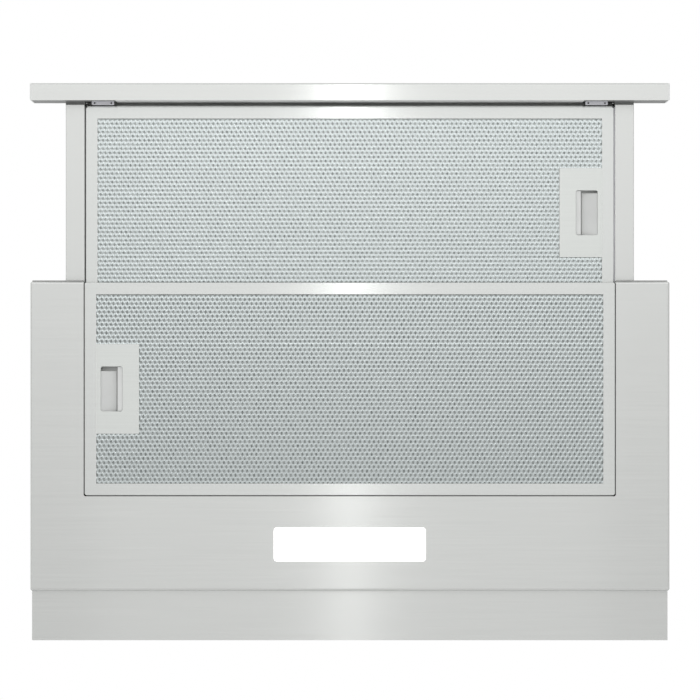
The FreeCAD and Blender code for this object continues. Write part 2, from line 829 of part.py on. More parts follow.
def lamp():
    """Flat lamp at the back of the casing: lens, housing and LED board."""
    lens = body(y="lamp_y")
    half, side = "lamp_width / 2", "lamp_depth / 2"
    pad(
        lens, "XY", "casing_bottom - 0.3", "casing_floor",
        rounded(f"-{half} + 0.2", f"{half} - 0.2", f"-{side} + 0.2", f"{side} - 0.2", "lamp_corner"),
    )
    fillet(lens, "0.5", on(z="casing_bottom - 0.3"))
    pad(
        lens, "XY", "casing_floor", "casing_floor + 1.5",
        rounded(f"-{half} - 3", f"{half} + 3", f"-{side} - 3", f"{side} + 3", "lamp_corner"),
    )
    keep(lens, "lamp_lens")

    top = "casing_floor + lamp_height"
    shell = body(y="lamp_y")
    pad(
        shell, "XY", "casing_floor", top,
        rounded(f"-{half} - 6", f"{half} + 6", f"-{side} - 5", f"{side} + 5", "4"),
    )
    pocket(
        shell, "XY", "casing_floor", f"{top} - 1.5",
        rect(f"-{half} - 3.3", f"{half} + 3.3", f"-{side} - 3.3", f"{side} + 3.3"),
    )
    keep(shell, "lamp_housing")

    board = body(y="lamp_y")
    pad(
        board, "XY", f"{top} - 3.1", f"{top} - 1.5",
        rect(f"-{half} + 4", f"{half} - 4", f"-{side} + 4", f"{side} - 4"),
    )
    spots = [f"({n} + 0.5) * lamp_width / 9" for n in range(-4, 4)]
    chips = [rect(f"{u} - 2", f"{u} + 2", "-2", "2") for u in spots]
    pad(board, "XY", f"{top} - 3.9", f"{top} - 3.1", *chips)
    keep(board, "led_board")


def guides():
    """Fixed C rails for the rear rollers, glides under the drawer and buffers at the front."""
    rail = body()
    low, high = "roller_z - guide_half", "roller_z + guide_half"
    pad(
        rail, "XZ", "casing_front + guide_end_gap", "casing_back - guide_end_gap",
        [
            ("guide_inner", f"{low} - guide_wall"),
            ("guide_web + guide_wall", f"{low} - guide_wall"),
            ("guide_web + guide_wall", "-sheet - guide_wall"),
            ("guide_web + guide_foot", "-sheet - guide_wall"),
            ("guide_web + guide_foot", "-sheet"),
            ("guide_web", "-sheet"),
            ("guide_web", f"{high} + guide_wall"),
            ("guide_inner", f"{high} + guide_wall"),
            ("guide_inner", high),
            ("guide_web", high),
            ("guide_web", low),
            ("guide_inner", low),
        ],
    )
    stop = "roller_y - roller_radius - 0.5"
    pad(rail, "XZ", f"{stop} - 4", stop, rect("guide_inner + 1", "guide_web", low, high))
    keep(rail, "guide_rail_right")
    keep(mirrored(rail), "guide_rail_left")

    glide = box(
        ("drawer_inner + glide_inset", "drawer_side - glide_inset"),
        ("casing_front + glide_inset", "casing_front + glide_inset + glide_length"),
        ("casing_floor", "drawer_bottom - 0.2"),
    )
    keep(pair(glide), "front_glides")

    strip = body()
    pad(
        strip, "XZ", "casing_front - buffer", "casing_front",
        [
            ("opening_side + 0.6", "casing_bottom + bend"),
            ("casing_side - bend", "casing_bottom + bend"),
            ("casing_side - bend", "-sheet - 2"),
            ("opening_wide + 0.6", "-sheet - 2"),
            ("opening_wide + 0.6", "opening_top - 0.6"),
            ("opening_side + 0.6", "opening_top - 0.6"),
        ],
    )
    keep(pair(strip), "front_buffers")


def filler_strip():
    """Rear filler strip, held by its two tongues on brackets inside the casing."""
    strip = body()
    pad(
        strip, "YZ", "-strip_side", "strip_side",
        [
            ("strip_front", "strip_z"),
            ("strip_back", "strip_z"),
            ("strip_back", "strip_z + strip_height"),
            ("strip_back - sheet", "strip_z + strip_height"),
            ("strip_back - sheet", "strip_z + sheet"),
            ("strip_front", "strip_z + sheet"),
        ],
    )
    low, high = "tongue_place - tongue_width / 2", "tongue_place + tongue_width / 2"
    front = "casing_back - tongue_length"
    pad(
        strip, "XY", "strip_z", "strip_z + sheet",
        rect(low, high, front, "strip_front"),
        rect(f"-({high})", f"-({low})", front, "strip_front"),
    )
    pocket(
        strip, "XY", "strip_z", "strip_z + sheet",
        circle("tongue_place", "tongue_screw_y", "strip_screw + 0.2"),
        circle("-tongue_place", "tongue_screw_y", "strip_screw + 0.2"),
    )
    keep(strip, "rear_spacer")

    spot = ("tongue_place", "tongue_screw_y")
    screw = fuse(
        rod("z", "strip_head", "strip_z + sheet", "strip_z + sheet + strip_head_height", spot),
        rod("z", "strip_screw", "strip_z - sheet - 4", "strip_z + sheet", spot),
        rod("z", "strip_head - 0.3", "strip_z - sheet - 3.6", "strip_z - sheet - 0.1", spot),
    )
    keep(pair(screw), "spacer_screws")

    bracket = body(x="tongue_place")
    wide = "tongue_width / 2 + 3"
    pad(
        bracket, "XZ", "opening_back + 6", "casing_back - sheet - 1",
        [
            (f"-({wide})", "casing_floor"),
            (f"-({wide}) + sheet", "casing_floor"),
            (f"-({wide}) + sheet", "strip_z - sheet"),
            (f"{wide} - sheet", "strip_z - sheet"),
            (f"{wide} - sheet", "casing_floor"),
            (wide, "casing_floor"),
            (wide, "strip_z"),
            (f"-({wide})", "strip_z"),
        ],
    )
    pocket(
        bracket, "XY", "strip_z - sheet", "strip_z",
        circle("0", "tongue_screw_y", "strip_screw + 0.2"),
    )
    keep(pair(bracket), "spacer_brackets")


def grease_filter(name, y, z, turn):
    """Cassette filter, drawn about its own centre with the latch at its left end."""
    place = {"y": y, "z": z, "turn": turn}
    half, side, top = "filter_half", "filter_side", "filter_thick"
    frame = body(**place)
    pad(frame, "XY", "0", top, rounded(f"-{half}", half, f"-{side}", side, "filter_corner"))
    fillet(frame, "0.6", on(z="0"), on(z=top))
    pocket(
        frame, "XY", "0", top,
        rect(
            f"-{half} + filter_bar", f"{half} - filter_bar",
            f"-{side} + filter_bar", f"{side} - filter_bar",
        ),
    )
    pocket(
        frame, "XY", "filter_sheet", f"{top} - filter_sheet",
        rect(
            f"-{half} + filter_sheet", f"{half} - filter_sheet",
            f"-{side} + filter_sheet", f"{side} - filter_sheet",
        ),
    )
    pocket(
        frame, "YZ", f"-{half}", f"-{half} + filter_sheet",
        rect("-nose_width / 2 - 0.5", "nose_width / 2 + 0.5", "latch_floor - 0.4", "latch_floor + 1.6"),
    )
    pad(
        frame, "XY", "latch_floor", "latch_floor + 1.4",
        rect(f"{half} - filter_sheet", f"{half} + nose_reach", "-70", "-50"),
        rect(f"{half} - filter_sheet", f"{half} + nose_reach", "50", "70"),
    )
    keep(frame, f"{name}_filter_frame")

    edge, flank = "(filter_half - filter_sheet - 0.2)", "(filter_side - filter_sheet - 0.2)"
    notch, reach = "(latch_length / 2 + 0.2)", "(latch_inner - 0.2)"
    sheet_loop = [
        (f"-{edge}", f"-{flank}"),
        (edge, f"-{flank}"),
        (edge, flank),
        (f"-{edge}", flank),
        (f"-{edge}", notch),
        (f"-{reach}", notch),
        (f"-{reach}", f"-{notch}"),
        (f"-{edge}", f"-{notch}"),
    ]
    mesh_top = "filter_sheet + mesh_thick"
    mesh = body(**place)
    pad(mesh, "XY", "filter_sheet", mesh_top, sheet_loop)
    keep(mesh, f"{name}_filter_mesh")

    core = body(**place)
    pad(core, "XY", mesh_top, "latch_floor + 2", sheet_loop)
    pad(core, "XY", "latch_floor + 2", f"{top} - filter_sheet", rect(f"-{edge}", edge, f"-{flank}", flank))
    keep(core, f"{name}_filter_core")
    latch(name, place)


def latch(name, place):
    """Latch plate with its sliding bolt and leaf spring."""
    plate = body(**place)
    length, slot = "latch_length / 2", "slot_length / 2"
    pad(
        plate, "XY", "0", "latch_plate_thick",
        rounded("-latch_edge", "-latch_inner", f"-{length}", length, "0.6"),
        rounded("-slot_edge", "-slot_inner", f"-{slot}", slot, "slot_corner"),
    )
    pad(
        plate, "XY", "latch_plate_thick", "latch_floor + 1.6",
        [
            ("-latch_edge + 1", "rib_y"),
            ("-latch_inner - 1.2", "rib_y"),
            ("-latch_inner - 1.2", "-rib_y"),
            ("-latch_edge + 1", "-rib_y"),
            ("-latch_edge + 1", "-rib_y - 1.2"),
            ("-latch_inner", "-rib_y - 1.2"),
            ("-latch_inner", "rib_y + 1.2"),
            ("-latch_edge + 1", "rib_y + 1.2"),
        ],
    )
    fillet(plate, "0.25", on(z="0"))
    keep(plate, f"{name}_latch_plate")

    slider = body(**place)
    wide = "(rib_y - 0.4)"
    floor, back = "latch_floor", "latch_floor + 1.2"
    pad(slider, "XY", floor, back, rect("-slot_edge - 6", "-slot_inner", f"-{wide}", wide))
    pad(
        slider, "XY", floor, back,
        rect("-filter_half - nose_reach", "-slot_edge - 6", "-nose_width / 2", "nose_width / 2"),
    )
    pad(
        slider, "XY", "grip_recess", floor,
        rect("-grip_edge", "-slot_inner", f"-{slot} + 0.4", f"{slot} - 0.4"),
    )
    fillet(slider, "0.5", on(z="grip_recess", x="-grip_edge"))
    keep(slider, f"{name}_latch_slider")

    spring = body(**place)
    near, far = "(-slot_inner + 0.1)", "(-latch_inner - 1.3)"
    pad(
        spring, "XY", "2.4", "latch_floor - 0.4",
        [
            (near, "-9"),
            (f"{near} + 0.6", "-9"),
            (far, "-0.6"),
            (far, "0.6"),
            (f"{near} + 0.6", "9"),
            (near, "9"),
            (f"{far} - 1.2", "0"),
        ],
    )
    keep(spring, f"{name}_latch_spring")


def drawer():
    """Drawer frame: two rails, a top plate and a rear bar."""
    rail = body()
    inner, outer = "drawer_inner", "drawer_side"
    pad(
        rail, "XZ", "rail_front", "drawer_rear",
        [
            (inner, "drawer_bottom"),
            (outer, "drawer_bottom"),
            (outer, "drawer_top"),
            (f"{outer} - rail_top_flange", "drawer_top"),
            (f"{outer} - rail_top_flange", "drawer_top - sheet"),
            (f"{outer} - sheet", "drawer_top - sheet"),
            (f"{outer} - sheet", "drawer_bottom + sheet"),
            (f"{inner} + sheet", "drawer_bottom + sheet"),
            (f"{inner} + sheet", "drawer_bottom + upstand"),
            (inner, "drawer_bottom + upstand"),
        ],
    )
    fillet(rail, "0.8", on(x=inner, z="drawer_bottom"), on(x=outer, z="drawer_bottom"))
    pocket(rail, "YZ", f"{outer} - sheet", outer, circle("roller_y", "roller_z", "axle_radius + 0.02"))
    keep(rail, "drawer_rail_right")
    keep(mirrored(rail), "drawer_rail_left")

    cover = box(
        ("-drawer_side + 0.5", "drawer_side - 0.5"),
        ("trim_back + 0.4", "drawer_filter_back + 0.1"),
        ("drawer_top", "drawer_top + sheet"),
    )
    keep(cover, "drawer_top")
    bar = box(
        ("-drawer_side + bar_inset", "drawer_side - bar_inset"),
        ("drawer_rear - bar_inset - bar_depth", "drawer_rear - bar_inset"),
        ("drawer_top - sheet - bar_height", "drawer_top - sheet"),
    )
    keep(bar, "drawer_rear_bar")

    centre = ("roller_y", "roller_z")
    end = "guide_inner + roller_width + 0.6"
    axle = fuse(
        rod("x", "3.6", f"{outer} - sheet - 1.2", f"{outer} - sheet", centre),
        rod("x", "axle_radius", f"{outer} - sheet", end, centre),
        rod("x", "3.6", end, f"{end} + 1.2", centre),
    )
    keep(pair(axle), "roller_axles")
    tyre = rod("x", "roller_radius", "guide_inner + 0.2", "guide_inner + roller_width + 0.2", centre)
    bore = rod("x", "axle_radius + run_clear", "guide_inner", "guide_inner + roller_width + 1", centre)
    roller = cut(tyre, bore)
    keep(roller, "roller_right")
    keep(mirrored(roller), "roller_left")


def trim():
    """Drawer front: folded trim, end caps, back cover, clips and brackets."""
    front = body()
    pad(
        front, "YZ", "-trim_end", "trim_end",
        [
            ("trim_front", "trim_bottom"),
            ("trim_back", "trim_bottom"),
            ("trim_back", "trim_bottom + trim_wall"),
            ("trim_front + trim_wall", "trim_bottom + trim_wall"),
            ("trim_front + trim_wall", "trim_top - trim_wall"),
            ("trim_back", "trim_top - trim_wall"),
            ("trim_back", "trim_top"),
            ("trim_front", "trim_top"),
        ],
    )
    fillet(front, "trim_round", on(y="trim_front", z="trim_bottom"), on(y="trim_front", z="trim_top"))
    pocket(
        front, "XZ", "trim_front", "trim_front + trim_wall",
        *[circle(f"button_first + {n} * button_pitch", "button_z", "button_radius + 0.3") for n in range(4)],
    )
    keep(front, "front_trim")

    cap = body()
    pad(
        cap, "YZ", "trim_end", "casing_side",
        rect("trim_front", "trim_back", "trim_bottom", "trim_top"),
    )
    fillet(cap, "trim_round", on(y="trim_front", z="trim_bottom"), on(y="trim_front", z="trim_top"))
    fillet(cap, "0.8", on(x="casing_side"))
    keep(pair(cap), "trim_end_caps")

    cover = body()
    pad(
        cover, "XZ", "trim_back - trim_wall", "trim_back",
        rect(
            "-trim_end + 0.3", "trim_end - 0.3",
            "trim_bottom + trim_wall + 0.2", "trim_top - trim_wall - 0.2",
        ),
        rect("foot_inner - 0.1", "foot_outer + 0.1", "foot_low - 0.1", "foot_high + 0.1"),
        rect("-foot_outer - 0.1", "-foot_inner + 0.1", "foot_low - 0.1", "foot_high + 0.1"),
    )
    keep(cover, "trim_back_cover")

    clip = body(x="clip_place")
    half = "clip_width / 2"
    low, high = "casing_bottom + filter_thick + 1.2", "casing_bottom + filter_thick + 5"
    pad(
        clip, "XY", low, high,
        rounded(f"-{half}", half, "trim_back", "trim_back + 3.4", "0.6"),
        circle(f"{half} - 2.6", "trim_back + 1.7", "0.9"),
        circle(f"-{half} + 2.6", "trim_back + 1.7", "0.9"),
    )
    keep(pair(clip), "trim_clips")

    bracket = body()
    pad(
        bracket, "XZ", "trim_back - trim_wall", "trim_back",
        rect("foot_inner", "foot_outer", "foot_low", "foot_high"),
    )
    near, far = "drawer_side - sheet - 0.1", "drawer_side - sheet - 0.1 - bracket_thick"
    pad(
        bracket, "XY", "drawer_bottom + 2.2", "foot_high",
        [
            ("drawer_inner", "trim_back"),
            ("drawer_side", "trim_back"),
            ("drawer_side", "rail_front"),
            (near, "rail_front"),
            (near, "rail_front + bracket_leg"),
            (far, "rail_front + bracket_leg"),
            (far, "rail_front"),
            ("drawer_inner", "rail_front"),
        ],
    )
    keep(pair(bracket), "trim_brackets")


def buttons():
    """Four push buttons in the trim and the switch block behind them."""
    flange = "trim_front + trim_wall + 0.1"
    face = f"{flange} + 1.2 + button_travel + 0.6"
    block = body()
    pad(
        block, "XZ", face, "trim_back - trim_wall",
        rect(
            "button_first - switch_margin", "button_first + 3 * button_pitch + switch_margin",
            "button_z - switch_margin", "button_z + switch_margin",
        ),
    )
    pocket(
        block, "XZ", face, f"{face} + 5",
        *[circle(f"button_first + {n} * button_pitch", "button_z", "3.3") for n in range(4)],
    )
    keep(block, "switch_block")
    for number, label in enumerate(("button_low", "button_medium", "button_high", "button_light")):
        button = body(x=f"button_first + {number} * button_pitch", z="button_z")
        pad(button, "XZ", "trim_front + button_inset", flange, circle("0", "0", "button_radius"))
        fillet(button, "0.6", on(y="trim_front + button_inset"))
        pad(button, "XZ", flange, f"{flange} + 1.2", circle("0", "0", "button_radius + 1.6"))
        pad(button, "XZ", f"{flange} + 1.2", f"{face} + 2.2", circle("0", "0", "3"))
        keep(button, label)


def export():
    """Check every object, then save each named piece."""
    doc.recompute()
    faults = [o.Label for o in doc.Objects if {"Invalid", "Error"} & set(o.State)]
    faults += [n.Label for n in nodes if n.Shape.isNull() or not n.Shape.isValid()]
    if faults:
        raise RuntimeError("faulty pieces: " + ", ".join(sorted(set(faults))))
    os.makedirs("parts", exist_ok=True)
    for node in nodes:
        node.Shape.exportStep(f"parts/{node.Label}.step")


lower_casing()
flange_plate()
housing_panels()
outlet_collar()
flaps()
blower()
electrics()
lamp()
guides()
filler_strip()
grease_filter("main", "main_front + filter_side", "casing_bottom", 0)
grease_filter("drawer", "drawer_filter_front + filter_side", "drawer_bottom", 180)
drawer()
trim()
buttons()
export()
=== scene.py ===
"""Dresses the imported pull-out hood for Blender: materials, expanded mesh, latches, screws, beads and marks.

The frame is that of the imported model: X along the width, Y towards the wall, Z up.
Pieces are drawn in millimetres, and the stage, lights and camera in metres.
"""

import json
import math

import bmesh
import bpy
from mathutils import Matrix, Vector


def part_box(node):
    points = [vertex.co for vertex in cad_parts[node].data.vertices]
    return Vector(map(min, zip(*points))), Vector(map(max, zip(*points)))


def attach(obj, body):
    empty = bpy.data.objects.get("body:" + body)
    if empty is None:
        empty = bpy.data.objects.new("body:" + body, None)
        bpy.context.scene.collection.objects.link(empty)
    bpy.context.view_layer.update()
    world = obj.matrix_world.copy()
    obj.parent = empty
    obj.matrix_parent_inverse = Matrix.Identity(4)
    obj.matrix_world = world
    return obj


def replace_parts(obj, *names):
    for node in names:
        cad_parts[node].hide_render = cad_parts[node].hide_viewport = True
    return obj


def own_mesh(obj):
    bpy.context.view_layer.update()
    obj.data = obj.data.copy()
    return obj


MM = 0.001

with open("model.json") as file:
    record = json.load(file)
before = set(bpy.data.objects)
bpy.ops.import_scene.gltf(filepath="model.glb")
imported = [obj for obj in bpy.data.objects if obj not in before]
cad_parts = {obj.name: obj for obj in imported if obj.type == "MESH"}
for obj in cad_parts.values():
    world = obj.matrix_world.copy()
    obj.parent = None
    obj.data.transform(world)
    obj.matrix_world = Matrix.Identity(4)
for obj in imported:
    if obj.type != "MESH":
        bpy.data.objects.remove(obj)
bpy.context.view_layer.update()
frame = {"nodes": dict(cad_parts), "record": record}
NODES = frame["nodes"]


# Node material helpers. Most of a noise lies between its low and high level.

NOISE_LOW = 0.3
NOISE_HIGH = 0.7


def new_material(name):
    """A node material and its main shader."""
    material = bpy.data.materials.new(name)
    material.use_nodes = True
    return material, material.node_tree.nodes["Principled BSDF"]


def add_node(material, kind, **settings):
    """A new node with its settings."""
    node = material.node_tree.nodes.new(kind)
    for key, setting in settings.items():
        setattr(node, key, setting)
    return node


def join(material, output, target):
    """Link an output to the input that it feeds."""
    material.node_tree.links.new(output, target)


def grain(material, scale, stretch=(1, 1, 1), detail=3.0):
    """Noise in the model's own coordinates, stretched per axis."""
    coords = add_node(material, "ShaderNodeTexCoord")
    mapping = add_node(material, "ShaderNodeMapping")
    mapping.inputs["Scale"].default_value = stretch
    noise = add_node(material, "ShaderNodeTexNoise")
    noise.inputs["Scale"].default_value = scale
    noise.inputs["Detail"].default_value = detail
    join(material, coords.outputs["Object"], mapping.inputs["Vector"])
    join(material, mapping.outputs["Vector"], noise.inputs["Vector"])
    return noise.outputs["Fac"]


def spread(material, source, low, high):
    """Map a noise onto a range of numbers."""
    node = add_node(material, "ShaderNodeMapRange")
    node.inputs["From Min"].default_value = NOISE_LOW
    node.inputs["From Max"].default_value = NOISE_HIGH
    node.inputs["To Min"].default_value = low
    node.inputs["To Max"].default_value = high
    join(material, source, node.inputs["Value"])
    return node.outputs["Result"]


def tint(material, source, dark, light, start=NOISE_LOW, end=NOISE_HIGH):
    """Map a number onto a range of colours."""
    node = add_node(material, "ShaderNodeValToRGB")
    node.color_ramp.elements[0].position = start
    node.color_ramp.elements[0].color = (*dark, 1)
    node.color_ramp.elements[1].position = end
    node.color_ramp.elements[1].color = (*light, 1)
    join(material, source, node.inputs["Fac"])
    return node.outputs["Color"]


def bump(material, shader, source, strength, distance):
    """Let a noise raise the surface in its shading."""
    node = add_node(material, "ShaderNodeBump")
    node.inputs["Strength"].default_value = strength
    node.inputs["Distance"].default_value = distance
    join(material, source, node.inputs["Height"])
    join(material, node.outputs["Normal"], shader.inputs["Normal"])


def shade(colour, factor):
    """A lighter or darker shade of a colour."""
    return tuple(min(1.0, channel * factor) for channel in colour)


def vary_colour(material, shader, source, colour, dark, light):
    """Let a noise change a colour between two shades of it."""
    colours = tint(material, source, shade(colour, dark), shade(colour, light))
    join(material, colours, shader.inputs["Base Color"])


def vary_gloss(material, shader, source, roughness, share):
    """Let a noise change a roughness by a share of it."""
    levels = spread(material, source, roughness * (1 - share), roughness * (1 + share))
    join(material, levels, shader.inputs["Roughness"])


# Materials. The brushing is along X, but in line with no face's normal.

BRUSH_AXIS = (1.0, 0.002, 0.001)
BRUSH_STREAKS = (3, 260, 260)
ROLLING_MARKS = (2, 90, 90)


def brushed(name, colour, roughness, anisotropic):
    """Metal brushed along X, with its highlights drawn out across the brushing."""
    material, shader = new_material(name)
    streaks = grain(material, 4.0, BRUSH_STREAKS)
    vary_colour(material, shader, streaks, colour, dark=0.975, light=1.02)
    vary_gloss(material, shader, streaks, roughness, share=0.07)
    shader.inputs["Metallic"].default_value = 1.0
    shader.inputs["Anisotropic"].default_value = anisotropic
    geometry = add_node(material, "ShaderNodeNewGeometry")
    across = add_node(material, "ShaderNodeVectorMath", operation="CROSS_PRODUCT")
    across.inputs[1].default_value = BRUSH_AXIS
    join(material, geometry.outputs["Normal"], across.inputs[0])
    join(material, across.outputs["Vector"], shader.inputs["Tangent"])
    return material


def galvanised(name, colour, roughness):
    """Zinc-coated sheet with a faint spangle and rolling marks."""
    material, shader = new_material(name)
    coords = add_node(material, "ShaderNodeTexCoord")
    cells = add_node(material, "ShaderNodeTexVoronoi")
    cells.inputs["Scale"].default_value = 240.0
    join(material, coords.outputs["Object"], cells.inputs["Vector"])
    split = add_node(material, "ShaderNodeSeparateColor")
    join(material, cells.outputs["Color"], split.inputs["Color"])
    spangle = split.outputs["Red"]
    vary_colour(material, shader, spangle, colour, dark=0.965, light=1.03)
    vary_gloss(material, shader, spangle, roughness, share=0.07)
    shader.inputs["Metallic"].default_value = 0.8
    bump(material, shader, grain(material, 5.0, ROLLING_MARKS), strength=0.04, distance=0.0005)
    return material


def moulded(name, colour, roughness, grit=0.05):
    """Plastic or rubber with a fine moulded grain."""
    material, shader = new_material(name)
    broad = grain(material, 25.0)
    vary_colour(material, shader, broad, colour, dark=0.94, light=1.05)
    vary_gloss(material, shader, broad, roughness, share=0.10)
    bump(material, shader, grain(material, 900.0), strength=grit, distance=0.0004)
    return material


def bare_metal(name, colour, roughness):
    """Plain turned or pressed metal."""
    material, shader = new_material(name)
    patches = grain(material, 60.0)
    vary_colour(material, shader, patches, colour, dark=0.92, light=1.05)
    vary_gloss(material, shader, patches, roughness, share=0.15)
    shader.inputs["Metallic"].default_value = 1.0
    return material


def expanded_metal(name, painted_shade_tone, painted_highlight_tone, roughness):
    """Bare expanded sheet, with one diagonal of its strands painted lighter than the other, as a painted
    highlight and painted shade.
    """
    material, shader = new_material(name)
    # The strand attribute picks a painted highlight or painted shade for each strand.
    strand = add_node(material, "ShaderNodeAttribute", attribute_name="strand")
    colours = tint(material, strand.outputs["Fac"], painted_shade_tone, painted_highlight_tone, start=0.0, end=1.0)
    join(material, colours, shader.inputs["Base Color"])
    vary_gloss(material, shader, grain(material, 60.0), roughness, share=0.10)
    shader.inputs["Metallic"].default_value = 1.0
    return material


def core_layers_painted_shade(name, dark, light):
    """Stacked mesh layers, seen as light and dark spots through the holes in front, in dark colours that
    paint the shade deep in the stack.
    """
    material, shader = new_material(name)
    spots = grain(material, 420.0, detail=1.0)
    join(material, tint(material, spots, dark, light), shader.inputs["Base Color"])
    shader.inputs["Metallic"].default_value = 0.9
    shader.inputs["Roughness"].default_value = 0.35
    return material


def lit_lens(name, dark, light):
    """Frosted lens lit from behind."""
    material, shader = new_material(name)
    frost = grain(material, 400.0)
    join(material, tint(material, frost, dark, light), shader.inputs["Base Color"])
    shader.inputs["Roughness"].default_value = 0.35
    shader.inputs["Emission Color"].default_value = (1.0, 1.0, 1.0, 1.0)
    shader.inputs["Emission Strength"].default_value = 1.2
    return material


# The record's slots, and copies of them in other tones: drawer_core painted lighter, latch_ramp and
# latch_well painted darker, as painted light and shade.
MATERIALS = {
    "steel": brushed("casing_steel", (0.66, 0.67, 0.655), 0.185, 1.0),
    "trim_steel": brushed("trim_steel", (0.66, 0.67, 0.655), 0.175, 1.0),
    "zinc": galvanised("zinc_sheet", (0.62, 0.63, 0.63), 0.43),
    "fastener": bare_metal("plated_steel", (0.62, 0.62, 0.62), 0.32),
    "filter_alu": brushed("filter_aluminium", (0.665, 0.68, 0.665), 0.19, 1.0),
    # The mesh's two tones are a painted highlight and painted shade on its strands.
    "filter_mesh": expanded_metal("mesh_aluminium", (0.44, 0.474, 0.474), (0.55, 0.592, 0.592), 0.18),
    # The cores' dark colours paint the shade deep in the filters, seen through the holes.
    "filter_core": core_layers_painted_shade("core_aluminium", (0.19, 0.207, 0.203), (0.375, 0.40, 0.39)),
    "drawer_core": core_layers_painted_shade("drawer_core_painted_light", (0.235, 0.255, 0.25), (0.455, 0.485, 0.475)),
    "latch_grey": brushed("latch_aluminium", (0.67, 0.69, 0.67), 0.30, 0.8),
    "latch_bolt": moulded("latch_plastic", (0.72, 0.73, 0.72), 0.45),
    # The ramp's copy is darker as painted shade on its tilt, the well's much darker as a painted shadow.
    "latch_ramp": moulded("latch_ramp_painted_shade", (0.65, 0.66, 0.65), 0.45),
    "latch_well": moulded("latch_well_painted_shade", (0.37, 0.375, 0.37), 0.50),
    "lens": lit_lens("lamp_lens_lit", (0.93, 0.93, 0.93), (0.97, 0.97, 0.97)),
    "white_plastic": moulded("white_plastic", (0.80, 0.80, 0.78), 0.45),
    "board": moulded("board_mask", (0.85, 0.85, 0.82), 0.40),
    "black_plastic": moulded("black_plastic", (0.035, 0.035, 0.037), 0.45),
    "motor_metal": bare_metal("motor_can", (0.42, 0.43, 0.44), 0.40),
    "cap_grey": moulded("cap_plastic", (0.78, 0.79, 0.78), 0.42),
    # This dark grey also paints the shade in the gaps beside the filters and on the trim's back.
    "grey_plastic": moulded("grey_plastic", (0.25, 0.255, 0.25), 0.55),
    "clip_plastic": moulded("clip_plastic", (0.71, 0.71, 0.75), 0.40),
    "buffer_foam": moulded("buffer_foam", (0.33, 0.333, 0.325), 0.80, 0.2),
    "button_metal": bare_metal("button_finish", (0.66, 0.67, 0.66), 0.28),
}

# The drawer's core takes a lighter copy of the core material, as painted light.
NODE_SHADES = {"drawer_filter_core": "drawer_core"}


def dress_nodes():
    """Give every CAD node the material of its slot, or its own shade of it."""
    for part in frame["record"]["subparts"]:
        mesh = NODES[part["node"]].data
        mesh.materials.clear()
        mesh.materials.append(MATERIALS[NODE_SHADES.get(part["node"], part["material_slot"])])


# Mesh helpers, in millimetres

END_STEPS = 6
CORNER_STEPS = 4
SHARP_ANGLE = math.radians(35)


def box_mm(node):
    """A node's lowest and highest corners."""
    low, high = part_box(node)
    return low / MM, high / MM


def middle_of(low, high):
    """The three coordinates halfway between two corners."""
    return [(a + b) / 2 for a, b in zip(low, high)]


def plane(origin, u, v):
    """A map from two flat coordinates and a height to a point in space."""
    origin, u, v = Vector(origin), Vector(u), Vector(v)
    normal = u.cross(v)
    return lambda a, b, height: origin + a * u + b * v + height * normal


def level(z):
    """The level plane at a height."""
    return plane((0, 0, z), (1, 0, 0), (0, 1, 0))


def raised(surface, rise):
    """A surface moved outwards."""
    return lambda a, b, height: surface(a, b, height + rise)


def circle(radius, sides, start=0.0):
    """Regular outline round a centre."""
    turns = [start + 2 * math.pi * k / sides for k in range(sides)]
    return [(radius * math.cos(turn), radius * math.sin(turn)) for turn in turns]


def capsule(length, radius):
    """Slot with round ends, along the first axis."""
    points = []
    for end in (1, -1):
        for k in range(END_STEPS + 1):
            turn = math.pi * (k / END_STEPS - 0.5)
            points.append((end * (length / 2 + radius * math.cos(turn)), end * radius * math.sin(turn)))
    return points


def rounded(x0, x1, y0, y1, radius):
    """Rectangle with rounded corners."""
    left, right = x0 + radius, x1 - radius
    near, far = y0 + radius, y1 - radius
    points = []
    for quarter, (x, y) in enumerate(((right, far), (left, far), (left, near), (right, near))):
        for k in range(CORNER_STEPS + 1):
            turn = math.pi / 2 * (quarter + k / CORNER_STEPS)
            points.append((x + radius * math.cos(turn), y + radius * math.sin(turn)))
    return points


class Sketch:
    """Points and faces of one piece."""

    def __init__(self):
        self.points = []
        self.faces = []

    def skin(self, loops, closed=False):
        """Join loops of equal size by faces, and either cap the ends or join the last to the first."""
        start = len(self.points)
        size = len(loops[0])
        for loop in loops:
            self.points.extend(loop)
        count = len(loops)
        for ring in range(count if closed else count - 1):
            here = start + ring * size
            there = start + (ring + 1) % count * size
            for k in range(size):
                n = (k + 1) % size
                self.faces.append((here + k, here + n, there + n, there + k))
        if not closed:
            self.faces.append(tuple(start + k for k in reversed(range(size))))
            self.faces.append(tuple(start + (count - 1) * size + k for k in range(size)))

    def stack(self, surface, centre, steps, closed=False):
        """Join flat outlines round a centre, each at its height above a surface."""
        x, y = centre
        loops = [[surface(x + a, y + b, height) for a, b in outline] for outline, height in steps]
        self.skin(loops, closed)

    def piece(self, name, slot, body, painted_shade_copy=None):
        """A mesh piece that takes a slot's material, or a darker copy of it as painted shade, and rides on a
        body.
        """
        mesh = bpy.data.meshes.new(name)
        mesh.from_pydata([Vector(point) * MM for point in self.points], [], self.faces)
        shape = bmesh.new()
        shape.from_mesh(mesh)
        bmesh.ops.recalc_face_normals(shape, faces=shape.faces)
        shape.to_mesh(mesh)
        shape.free()
        mesh.shade_smooth()
        mesh.set_sharp_from_angle(angle=SHARP_ANGLE)
        return place_mesh(mesh, slot, body, painted_shade_copy)


def place_mesh(mesh, slot, body, painted_shade_copy=None):
    """Add a mesh to the scene as a piece that rides on a body."""
    piece = bpy.data.objects.new(mesh.name, mesh)
    bpy.context.scene.collection.objects.link(piece)
    mesh.materials.append(MATERIALS[painted_shade_copy or slot])
    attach(piece, body)
    return piece


